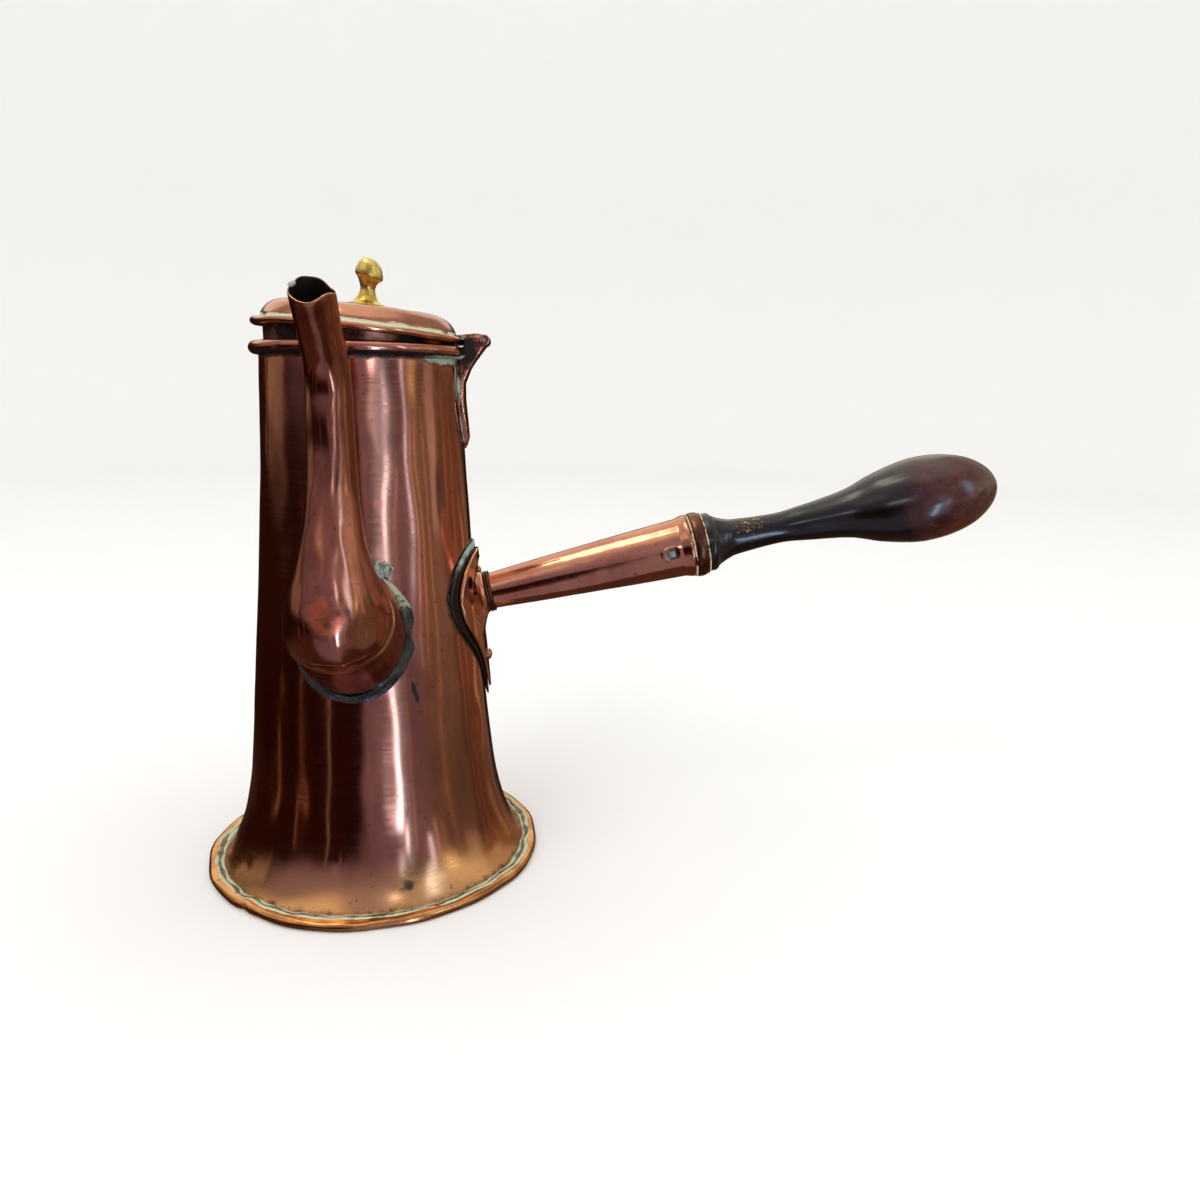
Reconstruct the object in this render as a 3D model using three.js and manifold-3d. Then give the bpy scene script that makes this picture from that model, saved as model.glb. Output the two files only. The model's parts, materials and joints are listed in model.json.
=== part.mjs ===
// A copper coffee pot with a side handle: a seamed, flared body on a folded foot, a pear-shaped
// spout, a turned wooden grip in a copper socket, and a domed lid on a rat-tail hinge.
// Millimetres. +Z is up, the handle is on +X, the spout faces -Y, and the origin is the
// middle of the foot, on the surface that the pot stands on.

import * as THREE from "three";
import { mergeVertices } from "three/addons/utils/BufferGeometryUtils.js";
import Module from "manifold-3d";

const wasm = await Module();
wasm.setup();

const DEGREE = Math.PI / 180;

// Sheet metal and clearances
const SHEET = 1.2; // body, base, spout and socket
const SOLDER_GAP = 0.3; // left between pieces that solder or a fold holds together
const ROUND = 40; // facets round the pot
const ROUND_SMALL = 24; // facets round the handle

// Body: one wall, drawn as two curves that meet at the waist
const RIM_Z = 229.9; // middle of the wired edge round the mouth
const MOUTH_R = 41.4; // outside of the wall at the mouth
const NECK_R = 44.3; // pull point of the upper curve
const NECK_Z = 152;
const WAIST_R = 54.7;
const WAIST_Z = 50;
const FLARE_R = 57.9; // pull point of the flared skirt
const FLARE_Z = 16;
const SKIRT_R = 70; // where the skirt turns flat
const FLANGE_WIDTH = 5.2; // flat edge of the skirt, held in the foot's fold
const WIRE_R = 1.2; // wire inside the rolled edge
const WIRE_GAP = 0.2;

// Foot: the base plate's edge is folded up and over the skirt's flat edge
const FOLD_WIDTH = 4.4;
const FOLD_GAP = 0.15;
const FOOT_SOLDER_R = 0.75;

// Spout
const SPOUT_Z = 118.5; // middle of its joint with the body
const SPOUT_RISE = 132; // its tip above that
const SPOUT_HALF_WIDTH = 22; // at the joint, where it is widest
const SOLDER_WIDTH = 3.2; // how far the solder spreads round the joint
const SOLDER_THICK = 1.4;
const STRAINER_HOLE_R = 1.6;
const STRAINER_PITCH = 6.4;
const STRAINER_RINGS = 2;

// Handle
const HANDLE_Z = 123.3; // where its axis meets the body
const HANDLE_PITCH = 13.5; // degrees above level
const GRIP_DROOP = 1.5; // degrees that the grip has sagged in its socket
const BACK_THICK = 1;
const PLATE_THICK = 1.2;
const PLATE_HALF_WIDTH = 25.2;
const PLATE_TOP = 21.5; // above the handle's axis
const PLATE_TAIL = 44; // below it
const BACK_MARGIN = 3.8; // of the back plate, round the front plate
const BOSS_R = 9.2;
const BOSS_FLARE = 5.5; // how much wider its foot is
const BOSS_LENGTH = 4.8;
const BOSS_BORE_R = 6.6;
const RING_R = 9.7;
const RING_LENGTH = 2.6;
const SOCKET_ROOT_R = 8;
const SOCKET_MOUTH_R = 13.3;
const SOCKET_LENGTH = 95;
const SOCKET_LIP = 1; // how far its end is swaged out
const FERRULE_R = 14.9;
const FERRULE_LENGTH = 7;
const SPIGOT_LENGTH = 36; // of the grip, inside the ferrule and socket
const SPIGOT_GAP = 0.7;
const GRIP_LENGTH = 139; // outside the ferrule
const GRIP_SHOULDER_R = 13.3;
const GRIP_NECK_R = 7;
const GRIP_BULB_R = 19.7;
const PIN_R = 2;
const PIN_BACK = 9.5; // from the socket's mouth to the cross pin

// Rivets
const RIVET_R = 1.4;
const RIVET_HEAD_R = 2.6;
const RIVET_HEAD_H = 1.4;
const RIVET_GAP = 0.25; // round the shank
const RIVET_SEAT = 0.45; // from each head to the curved metal under it
const SIDE_RIVET_OUT = 15; // sideways from the handle's axis
const SIDE_RIVET_UP = 8;
const LOST_RIVET_R = 2.25; // the near lobe's hole, worn wide since its rivet fell out
const LOST_RIVET_OUT = 18.2;
const LOST_RIVET_UP = 9.1;
const TAIL_RIVET_DOWN = 28.5;

// Lid
const LID_SHEET = 1;
const LID_INSET = 1.2; // its edge inside the rim's
const LID_EDGE_R = 1.45; // half the thickness of its rounded edge
const LID_SEAT_GAP = 0.25;
const DOME_OUT = 1.1; // foot of the dome's side outside the collar
const DOME_RISE = 10.3; // crown above the middle of the edge
const COLLAR_GAP = 0.9; // between the collar and the mouth
const COLLAR_TAPER = 0.6;
const COLLAR_DEPTH = 10.2; // below the lid's edge
const COLLAR_SHEET = 1;
const LID_AJAR = 4; // degrees: the lid stands open by this much at rest

// Hinge
const HINGE_OUT = 7.4; // from the wired edge to the pin
const HINGE_UP = 1.2; // pin above the middle of the lid's edge
const BARREL_R = 2.4;
const HINGE_PIN_R = 1;
const HINGE_PIN_GAP = 0.1;
const KNUCKLE_LENGTH = 6; // the lid's, between two on the bracket
const SIDE_KNUCKLE = 4.6;
const KNUCKLE_GAP = 0.3;
const STRAP_WIDTH = 10;
const TAIL_LENGTH = 45; // pin down to the tip of the rat-tail
const TAIL_HALF_WIDTH = 8.6;

// Finial
const FINIAL_OFFSET = 2.1; // towards the hinge
const FINIAL_HEIGHT = 19.6;
const FINIAL_FOOT_R = 8.1;
const FINIAL_NECK_R = 3.1;
const FINIAL_BULB_R = 5.7;
const STUD_R = 1.5;
const STUD_GAP = 0.25;
const WASHER_R = 4;
const WASHER_THICK = 1;

// Materials
const finish = (color, roughness, metalness) =>
  new THREE.MeshStandardMaterial({ color, roughness, metalness });
const COPPER = finish(0xb06a4a, 0.3, 1);
const DARK_COPPER = finish(0x7b4b3a, 0.4, 1);
const BRASS = finish(0xd0a850, 0.28, 1);
const SOLDER = finish(0x6f7f7d, 0.6, 0.8);
const IRON = finish(0x6b6e6a, 0.6, 0.9);
const WOOD = finish(0x2c1713, 0.25, 0);

// Plane outlines
const arc = (r, z, radius, from, to, steps) =>
  Array.from({ length: steps + 1 }, (_, i) => {
    const a = (from + ((to - from) * i) / steps) * DEGREE;
    return [r + radius * Math.cos(a), z + radius * Math.sin(a)];
  });

const bezier = (from, pull, to, steps) =>
  new THREE.QuadraticBezierCurve(
    new THREE.Vector2(...from),
    new THREE.Vector2(...pull),
    new THREE.Vector2(...to),
  )
    .getPoints(steps)
    .map((p) => [p.x, p.y]);

const spline = (points, steps) =>
  new THREE.SplineCurve(points.map((p) => new THREE.Vector2(...p)))
    .getPoints(steps)
    .map((p) => [p.x, p.y]);

// The line moved to its left by the distance, each point along its own normal.
const offsetLine = (points, distance) =>
  points.map(([r, z], i) => {
    const before = points[Math.max(i - 1, 0)];
    const after = points[Math.min(i + 1, points.length - 1)];
    const along = new THREE.Vector2(after[0] - before[0], after[1] - before[1]).normalize();
    return [r - along.y * distance, z + along.x * distance];
  });

// Solids
const signedVolume = (positions, triangles) => {
  const [a, b, c] = [new THREE.Vector3(), new THREE.Vector3(), new THREE.Vector3()];
  let sum = 0;
  for (let i = 0; i < triangles.length; i += 3) {
    a.fromArray(positions, 3 * triangles[i]);
    b.fromArray(positions, 3 * triangles[i + 1]);
    c.fromArray(positions, 3 * triangles[i + 2]);
    sum += a.dot(b.cross(c));
  }
  return sum / 6;
};

const MERGE = 1e-4;

function toSolid(geometry) {
  const bare = geometry.index ? geometry.toNonIndexed() : geometry.clone();
  bare.deleteAttribute("normal");
  bare.deleteAttribute("uv");
  const merged = mergeVertices(bare, MERGE);
  const positions = merged.attributes.position.array;
  const triangles = [];
  for (let i = 0; i < merged.index.count; i += 3) {
    const [a, b, c] = [0, 1, 2].map((k) => merged.index.getX(i + k));
    if (a !== b && b !== c && a !== c) triangles.push(a, b, c);
  }
  if (signedVolume(positions, triangles) < 0) triangles.reverse();
  const mesh = new wasm.Mesh({
    numProp: 3,
    vertProperties: new Float32Array(positions),
    triVerts: new Uint32Array(triangles),
  });
  return new wasm.Manifold(mesh);
}

function toGeometry(solid) {
  const made = solid.getMesh();
  const stride = made.numProp;
  const positions = new Float32Array(made.numVert * 3);
  for (let i = 0; i < made.numVert; i++) {
    positions.set(made.vertProperties.subarray(i * stride, i * stride + 3), i * 3);
  }
  const geometry = new THREE.BufferGeometry();
  geometry.setAttribute("position", new THREE.BufferAttribute(positions, 3));
  geometry.setIndex(new THREE.BufferAttribute(new Uint32Array(made.triVerts), 1));
  const flat = geometry.toNonIndexed();
  flat.computeVertexNormals();
  return flat;
}

const cut = (solid, ...tools) => tools.reduce((left, tool) => left.subtract(tool), solid);

const piece = (name, material, solid) => {
  const mesh = new THREE.Mesh(toGeometry(solid), material);
  mesh.name = name;
  return mesh;
};

// A closed outline of [radius, height], turned about the pot's axis.
const turned = (outline, facets = ROUND) =>
  new THREE.LatheGeometry(
    outline.map((p) => new THREE.Vector2(Math.max(p[0], 0), p[1])),
    facets,
  ).rotateX(Math.PI / 2);

const ring = (outline, facets) => turned([...outline, outline[0]], facets);

// The same for an outline of [distance, radius] along the handle.
const turnedAlong = (outline, facets = ROUND_SMALL) =>
  turned(
    outline.map(([along, radius]) => [radius, along]),
    facets,
  ).rotateY(Math.PI / 2);

const ringAlong = (outline, facets) => turnedAlong([...outline, outline[0]], facets);

const shapeOf = (points) => new THREE.Shape(points.map((p) => new THREE.Vector2(...p)));

const AS_FRONT = new THREE.Matrix4().makeBasis(
  new THREE.Vector3(0, 1, 0),
  new THREE.Vector3(0, 0, 1),
  new THREE.Vector3(1, 0, 0),
);

// An outline in X and Z, as thick as its width and centred on Y.
const sideways = (points, width) =>
  new THREE.ExtrudeGeometry(shapeOf(points), { depth: width, bevelEnabled: false })
    .rotateX(Math.PI / 2)
    .translate(0, width / 2, 0);

// An outline in Y and Z, pushed outwards along +X from the pot's axis.
const frontal = (points, reach) =>
  new THREE.ExtrudeGeometry(shapeOf(points), { depth: reach, bevelEnabled: false })
    .applyMatrix4(AS_FRONT);

const cylinderAlongY = (radius, length, facets) =>
  new THREE.CylinderGeometry(radius, radius, length, facets);

// The body's wall
const flangeBottom = SHEET + FOLD_GAP;
const flangeTop = flangeBottom + SHEET;
const flangeR = SKIRT_R + FLANGE_WIDTH;
const wireBore = WIRE_R + WIRE_GAP;
const rollR = wireBore + SHEET;
const wireRingR = MOUTH_R + wireBore;
const rimOuterR = wireRingR + rollR;
const rimTop = RIM_Z + rollR;

const wallOutside = [
  ...bezier([SKIRT_R, flangeTop], [FLARE_R, FLARE_Z], [WAIST_R, WAIST_Z], 6),
  ...bezier([WAIST_R, WAIST_Z], [NECK_R, NECK_Z], [MOUTH_R, RIM_Z], 6).slice(1),
];

function bodyRadius(z) {
  const above = wallOutside.findIndex((p) => p[1] >= z);
  if (above < 0) return MOUTH_R;
  if (above === 0) return SKIRT_R;
  const [low, high] = [wallOutside[above - 1], wallOutside[above]];
  return low[0] + ((high[0] - low[0]) * (z - low[1])) / (high[1] - low[1]);
}

// Everything inside the wall's outer face, moved out by the margin, between two heights.
const LEVELS = 10;
const wallLine = (low, high, margin) =>
  Array.from({ length: LEVELS + 1 }, (_, i) => {
    const z = low + ((high - low) * i) / LEVELS;
    return [bodyRadius(z) + margin, z];
  });

const envelope = (low, high, margin) =>
  toSolid(turned([[0, low], ...wallLine(low, high, margin), [0, high]]));

// A curved plate that lies on the body, between two margins off it.
const onBody = (low, high, inner, outer) =>
  toSolid(ring([...wallLine(low, high, outer), ...wallLine(low, high, inner).reverse()]));

function radialDrill(radius, azimuth, z) {
  const reach = bodyRadius(z) * 2;
  return toSolid(
    new THREE.CylinderGeometry(radius, radius, reach, 12)
      .rotateZ(Math.PI / 2)
      .translate(reach / 2, 0, z)
      .rotateZ(azimuth),
  );
}

const sideAzimuth = Math.asin(SIDE_RIVET_OUT / bodyRadius(HANDLE_Z + SIDE_RIVET_UP));
const sideRivetZ = HANDLE_Z + SIDE_RIVET_UP;
const lostRivetZ = HANDLE_Z + LOST_RIVET_UP;
const lostAzimuth = -Math.asin(LOST_RIVET_OUT / bodyRadius(lostRivetZ));
const tailRivetZ = HANDLE_Z - TAIL_RIVET_DOWN;
const rivetHoleR = RIVET_R + RIVET_GAP;

function strainerHoles() {
  const holes = [];
  for (let row = -STRAINER_RINGS; row <= STRAINER_RINGS; row++) {
    const count = 2 * STRAINER_RINGS + 1 - Math.abs(row);
    for (let i = 0; i < count; i++) {
      const x = (i - (count - 1) / 2) * STRAINER_PITCH;
      const z = SPOUT_Z + (row * STRAINER_PITCH * Math.sqrt(3)) / 2;
      const depth = bodyRadius(z);
      holes.push(
        toSolid(cylinderAlongY(STRAINER_HOLE_R, depth, 6).translate(x, -depth, z)),
      );
    }
  }
  return holes;
}

function bodyShell() {
  const wallInside = offsetLine(wallOutside, SHEET).filter((p) => p[1] > flangeBottom);
  const rollEnd = -Math.acos((SOLDER_GAP - wireBore) / rollR) / DEGREE;
  const section = [
    [flangeR, flangeTop],
    ...wallOutside,
    ...arc(wireRingR, RIM_Z, wireBore, 180, rollEnd, 6).slice(1),
    ...arc(wireRingR, RIM_Z, rollR, rollEnd, 180, 8),
    ...wallInside.slice(0, -1).reverse(),
    [wallInside[0][0] - SHEET / 2, flangeBottom],
    [flangeR, flangeBottom],
  ];
  const wall = toSolid(ring(section));
  return cut(
    wall,
    ...strainerHoles(),
    radialDrill(rivetHoleR, sideAzimuth, sideRivetZ),
    radialDrill(rivetHoleR, 0, tailRivetZ),
  );
}

const rimWire = () => toSolid(ring(arc(wireRingR, RIM_Z, WIRE_R, 0, 300, 5)));

// The foot
const footWallInside = flangeR + SOLDER_GAP;
const footR = footWallInside + SHEET;
const foldUnder = flangeTop + FOLD_GAP;
const foldTop = foldUnder + SHEET;
const foldR = footR - FOLD_WIDTH;

const basePlate = () =>
  toSolid(
    turned([
      [0, 0],
      ...arc(footR - SHEET, SHEET, SHEET, -90, 0, 3),
      ...arc(footR - SHEET, foldTop - SHEET, SHEET, 0, 90, 3),
      [foldR, foldTop],
      [foldR, foldUnder],
      [footWallInside, foldUnder],
      [footWallInside, SHEET],
      [0, SHEET],
    ]),
  );

const footSolder = () => {
  const r = (SKIRT_R + foldR) / 2;
  return toSolid(ring(arc(r, flangeTop + FOLD_GAP + FOOT_SOLDER_R, FOOT_SOLDER_R, 0, 300, 5)));
};

// The spout. Each station gives a point on its back and one on its front, as [reach beyond the
// wall, height above the joint's middle] in hundredths of its rise, and its share of the width.
const SPOUT_SIDES = 20;
const ROOT_STATIONS = [
  { back: [-6.1, 19.3], front: [-0.8, -20.5], width: 1 },
  { back: [-1.5, 19.7], front: [4.5, -18.9], width: 1 },
  { back: [1.9, 18.9], front: [15.2, -12.1], width: 0.97 },
  { back: [5.2, 17.6], front: [25.6, -5.2], width: 0.914 },
];
const TUBE_STATIONS = [
  { back: [5.4, 17.8], front: [25.8, -4.9], width: 0.918 },
  { back: [6.4, 20.8], front: [31.1, -1.1], width: 0.895 },
  { back: [7.4, 23.9], front: [33.9, 5.3], width: 0.81 },
  { back: [8.2, 27.3], front: [34.1, 13.3], width: 0.695 },
  { back: [9.4, 34.5], front: [29.2, 28.8], width: 0.532 },
  { back: [9.5, 48.1], front: [23.2, 47], width: 0.418 },
  { back: [8.9, 65.5], front: [21.7, 64.9], width: 0.391 },
  { back: [10.8, 79.9], front: [22.2, 76.1], width: 0.359 },
  { back: [16.1, 88.8], front: [26.1, 82.3], width: 0.355 },
  { back: [24.2, 99.9], front: [34, 92.8], width: 0.359 },
];

// Quads between neighbouring rings of points, and from the last ring back to the first.
function skin(rings) {
  const positions = rings.flat(2);
  const sides = rings[0].length;
  const triangles = [];
  rings.forEach((_, k) => {
    const next = (k + 1) % rings.length;
    for (let i = 0; i < sides; i++) {
      const j = (i + 1) % sides;
      const [a, b, c, d] = [k * sides + i, k * sides + j, next * sides + j, next * sides + i];
      triangles.push(a, b, c, a, c, d);
    }
  });
  const geometry = new THREE.BufferGeometry();
  geometry.setAttribute("position", new THREE.Float32BufferAttribute(positions, 3));
  geometry.setIndex(triangles);
  return geometry;
}

function spoutRing({ back, front, width }, inset) {
  const place = ([reach, height]) =>
    new THREE.Vector2(reach, height)
      .multiplyScalar(SPOUT_RISE / 100)
      .add(new THREE.Vector2(bodyRadius(SPOUT_Z), SPOUT_Z));
  const middle = place(front).add(place(back)).multiplyScalar(0.5);
  const deep = place(front).sub(middle);
  const shrink = 1 - inset / deep.length();
  const half = width * SPOUT_HALF_WIDTH - inset;
  return Array.from({ length: SPOUT_SIDES }, (_, i) => {
    const a = (2 * Math.PI * i) / SPOUT_SIDES;
    const share = Math.sin(a) * shrink;
    return [half * Math.cos(a), -middle.x - deep.x * share, middle.y + deep.y * share];
  });
}

const spoutPipe = (stations) =>
  toSolid(
    skin([
      ...stations.map((s) => spoutRing(s, 0)),
      ...stations.map((s) => spoutRing(s, SHEET)).reverse(),
    ]),
  );

// The pipe filled up and thickened by the margin, to cut its neighbours with.
function spoutCore(stations, margin) {
  const point = (ringPoints) => {
    const sum = ringPoints.reduce((t, p) => t.map((v, i) => v + p[i]), [0, 0, 0]);
    return ringPoints.map(() => sum.map((v) => v / ringPoints.length));
  };
  const rings = stations.map((s) => spoutRing(s, -margin));
  return toSolid(skin([point(rings[0]), ...rings, point(rings[rings.length - 1])]));
}

const jointHalfHeight = (SPOUT_RISE * (ROOT_STATIONS[0].back[1] - ROOT_STATIONS[0].front[1])) / 200;
const jointLow = SPOUT_Z - jointHalfHeight - 2 * SOLDER_WIDTH;
const jointHigh = SPOUT_Z + jointHalfHeight + 2 * SOLDER_WIDTH;

const spoutRoot = () =>
  spoutPipe(ROOT_STATIONS).subtract(envelope(jointLow, jointHigh, SOLDER_GAP));

const spoutTube = () => spoutPipe(TUBE_STATIONS);

function spoutSolder() {
  const oval = Array.from({ length: 24 }, (_, i) => {
    const a = (i * Math.PI) / 12;
    return [
      (SPOUT_HALF_WIDTH + SOLDER_WIDTH) * Math.cos(a),
      SPOUT_Z + (jointHalfHeight + SOLDER_WIDTH) * Math.sin(a),
    ];
  });
  const reach = 2 * bodyRadius(SPOUT_Z);
  const patch = toSolid(sideways(oval, reach).translate(0, -reach / 2, 0));
  const coat = onBody(jointLow, jointHigh, SOLDER_GAP, SOLDER_GAP + SOLDER_THICK);
  return coat.intersect(patch).subtract(spoutCore(ROOT_STATIONS, SOLDER_GAP));
}

// The handle's mount. Its outline is a shield: a round top and a tail drawn in to a point.
const SHIELD = [
  [0, 1],
  [0.45, 0.93],
  [0.8, 0.66],
  [1, 0.18],
  [0.98, -0.06],
  [0.86, -0.24],
  [0.52, -0.5],
  [0.24, -0.74],
  [0.09, -0.92],
];

function shieldOutline(margin) {
  const right = SHIELD.map(([across, up]) => [
    across * (PLATE_HALF_WIDTH + margin),
    HANDLE_Z + (up > 0 ? up * (PLATE_TOP + margin) : -up * -(PLATE_TAIL + margin)),
  ]);
  const left = right.slice(1).map(([y, z]) => [-y, z]);
  return [...right, [0, HANDLE_Z - PLATE_TAIL - margin], ...left.reverse()];
}

const mountHigh = HANDLE_Z + PLATE_TOP + 2 * BACK_MARGIN;
const mountLow = HANDLE_Z - PLATE_TAIL - 2 * BACK_MARGIN;
const backOuter = SOLDER_GAP + BACK_THICK;
const plateInner = backOuter + SOLDER_GAP;
const plateOuter = plateInner + PLATE_THICK;
const shieldReach = 2 * bodyRadius(HANDLE_Z);

const handlePitch = HANDLE_PITCH * DEGREE;
const handlePlace = new THREE.Matrix4()
  .makeTranslation(bodyRadius(HANDLE_Z), 0, HANDLE_Z)
  .multiply(new THREE.Matrix4().makeRotationY(-handlePitch));

const bossBore = () =>
  toSolid(
    turnedAlong([
      [-BOSS_LENGTH, 0],
      [-BOSS_LENGTH, BOSS_BORE_R],
      [2 * BOSS_LENGTH, BOSS_BORE_R],
      [2 * BOSS_LENGTH, 0],
    ]).applyMatrix4(handlePlace),
  );

function handleBackPlate() {
  const sheet = onBody(mountLow, mountHigh, SOLDER_GAP, backOuter);
  const outline = toSolid(frontal(shieldOutline(BACK_MARGIN), shieldReach));
  return cut(
    sheet.intersect(outline),
    radialDrill(rivetHoleR, sideAzimuth, sideRivetZ),
    radialDrill(rivetHoleR, 0, tailRivetZ),
  );
}

function handlePlate() {
  const sheet = onBody(mountLow, mountHigh, plateInner, plateOuter);
  const outline = toSolid(frontal(shieldOutline(0), shieldReach));
  const boss = toSolid(
    turnedAlong([
      [-BOSS_LENGTH, 0],
      [-BOSS_LENGTH, BOSS_R + BOSS_FLARE],
      [0.35 * BOSS_LENGTH, BOSS_R + BOSS_FLARE],
      [0.62 * BOSS_LENGTH, BOSS_R + 0.44 * BOSS_FLARE],
      [0.8 * BOSS_LENGTH, BOSS_R + 0.13 * BOSS_FLARE],
      [BOSS_LENGTH, BOSS_R],
      [BOSS_LENGTH, 0],
    ]).applyMatrix4(handlePlace),
  );
  return cut(
    sheet.intersect(outline).add(boss),
    envelope(mountLow, mountHigh, plateInner),
    bossBore(),
    radialDrill(rivetHoleR, sideAzimuth, sideRivetZ),
    radialDrill(LOST_RIVET_R, lostAzimuth, lostRivetZ),
    radialDrill(rivetHoleR, 0, tailRivetZ),
  );
}

// A rivet lies along +X with its shank through wall, back plate and plate.
function rivet(z) {
  const outside = bodyRadius(z) + plateOuter + RIVET_SEAT;
  const inside = bodyRadius(z) - SHEET - RIVET_SEAT;
  return toSolid(
    turnedAlong(
      [
        [inside - 1, 0],
        [inside - 1, RIVET_HEAD_R - 0.6],
        [inside, RIVET_HEAD_R],
        [inside, RIVET_R],
        [outside, RIVET_R],
        [outside, RIVET_HEAD_R],
        [outside + 0.6 * RIVET_HEAD_H, RIVET_HEAD_R - 0.5],
        [outside + RIVET_HEAD_H, RIVET_HEAD_R - 1.5],
        [outside + RIVET_HEAD_H, 0],
      ],
      12,
    ),
  );
}

// The handle proper, in a frame whose +X runs out along it from the body's wall
const ringStart = BOSS_LENGTH + SOLDER_GAP;
const socketStart = ringStart + 0.2;
const socketEnd = socketStart + SOCKET_LENGTH;
const lipStart = socketEnd - 5;
const pinAt = socketEnd - PIN_BACK;
const gripDroop = GRIP_DROOP * DEGREE;
const ferruleStart = socketEnd + SOLDER_GAP + FERRULE_R * Math.sin(gripDroop);
const ferruleEnd = ferruleStart + FERRULE_LENGTH;
const gripStart = ferruleEnd + SOLDER_GAP;
const spigotEnd = gripStart - SPIGOT_LENGTH;

const socketRadius = (along) =>
  SOCKET_ROOT_R +
  ((SOCKET_MOUTH_R - SOCKET_ROOT_R) * (along - socketStart)) / (lipStart - socketStart);

const socketRing = () => {
  const bore = socketRadius(ringStart + RING_LENGTH) + SOLDER_GAP;
  return toSolid(
    ringAlong([
      [ringStart, bore],
      [ringStart, RING_R - 0.8],
      [ringStart + 0.8, RING_R],
      [ringStart + RING_LENGTH - 0.8, RING_R - 0.2],
      [ringStart + RING_LENGTH, RING_R - 1],
      [ringStart + RING_LENGTH, bore],
    ]),
  );
};

const crossDrill = (radius) =>
  toSolid(cylinderAlongY(radius, 4 * SOCKET_MOUTH_R, 12).translate(pinAt, 0, 0));

function handleSocket() {
  const lip = SOCKET_MOUTH_R + SOCKET_LIP;
  return toSolid(
    ringAlong([
      [socketStart, SOCKET_ROOT_R],
      [lipStart, SOCKET_MOUTH_R],
      [lipStart + 2.5, SOCKET_MOUTH_R + 0.4 * SOCKET_LIP],
      [socketEnd, lip],
      [socketEnd, SOCKET_MOUTH_R - SHEET],
      [lipStart, SOCKET_MOUTH_R - SHEET],
      [socketStart, SOCKET_ROOT_R - SHEET],
    ]),
  ).subtract(crossDrill(PIN_R + SOLDER_GAP));
}

const spigotMouthR = SOCKET_MOUTH_R - SHEET - SPIGOT_GAP;

function ferrule() {
  const bore = spigotMouthR + SPIGOT_GAP;
  return toSolid(
    ringAlong([
      [ferruleStart, bore],
      [ferruleStart, FERRULE_R - 0.7],
      [ferruleStart + 0.25 * FERRULE_LENGTH, FERRULE_R - 0.1],
      [ferruleStart + 0.5 * FERRULE_LENGTH, FERRULE_R],
      [ferruleStart + 0.8 * FERRULE_LENGTH, FERRULE_R - 0.5],
      [ferruleEnd, FERRULE_R - 1.2],
      [ferruleEnd, bore],
    ]),
  );
}

// The grip's outline, as [share of its length, radius], from its shoulder to its butt.
const GRIP_OUTLINE = [
  [0, GRIP_SHOULDER_R],
  [0.02, GRIP_SHOULDER_R],
  [0.036, 0.86 * GRIP_SHOULDER_R],
  [0.07, GRIP_NECK_R + 2.3],
  [0.11, GRIP_NECK_R + 1.1],
  [0.245, GRIP_NECK_R],
  [0.335, GRIP_NECK_R + 1.2],
  [0.485, 0.57 * GRIP_BULB_R],
  [0.59, 0.81 * GRIP_BULB_R],
  [0.695, 0.975 * GRIP_BULB_R],
  [0.765, GRIP_BULB_R],
  [0.835, 0.94 * GRIP_BULB_R],
  [0.905, 0.785 * GRIP_BULB_R],
  [0.96, 0.53 * GRIP_BULB_R],
  [0.99, 0.26 * GRIP_BULB_R],
  [1, 0],
];

function grip() {
  const spigotTipR = socketRadius(spigotEnd) - SHEET - SPIGOT_GAP;
  const outside = GRIP_OUTLINE.map(([share, radius]) => [
    gripStart + share * GRIP_LENGTH,
    radius,
  ]);
  return toSolid(
    turnedAlong([
      [spigotEnd, 0],
      [spigotEnd, spigotTipR],
      [lipStart, spigotMouthR],
      [gripStart, spigotMouthR],
      ...spline(outside, 22),
    ]),
  ).subtract(crossDrill(PIN_R + SOLDER_GAP));
}

function gripPin() {
  const length = 2 * socketRadius(pinAt) - 0.8;
  return toSolid(cylinderAlongY(PIN_R, length, 12).translate(pinAt, 0, 0));
}

// The lid, drawn shut and then turned open about the hinge
const lidZ = rimTop + LID_SEAT_GAP + LID_EDGE_R;
const lidR = rimOuterR - LID_INSET;
const lidEdgeR = lidR - LID_EDGE_R;
const collarR = MOUTH_R - SHEET - COLLAR_GAP;
const domeR = collarR + DOME_OUT;
const crownZ = lidZ + DOME_RISE;
const hingeX = rimOuterR + HINGE_OUT;
const hingeZ = lidZ + HINGE_UP;

const lidTop = [
  [0, crownZ],
  [18, crownZ - 0.3],
  [domeR - 7, crownZ - 1.3],
  [domeR - 3.4, crownZ - 2.8],
  [domeR - 1.4, crownZ - 4.9],
  [domeR, lidZ + 2.1],
  [domeR + 0.8, lidZ + 1.2],
];

function lidShell() {
  const under = offsetLine(lidTop, -LID_SHEET);
  under[0][0] = 0;
  const stud = toSolid(
    new THREE.CylinderGeometry(STUD_R + STUD_GAP, STUD_R + STUD_GAP, 4 * DOME_RISE, 12)
      .rotateX(Math.PI / 2)
      .translate(FINIAL_OFFSET, 0, crownZ),
  );
  return toSolid(
    turned([
      ...lidTop,
      ...arc(lidEdgeR, lidZ, LID_EDGE_R, 110, -150, 6),
      ...under.reverse(),
    ]),
  ).subtract(stud);
}

const lidEnvelope = () => {
  const grown = offsetLine(lidTop, SOLDER_GAP);
  grown[0][0] = 0;
  return toSolid(
    turned([
      ...grown,
      ...arc(lidEdgeR, lidZ, LID_EDGE_R + SOLDER_GAP, 110, -90, 6),
      [0, lidZ - LID_EDGE_R - SOLDER_GAP],
    ]),
  );
};

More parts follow.
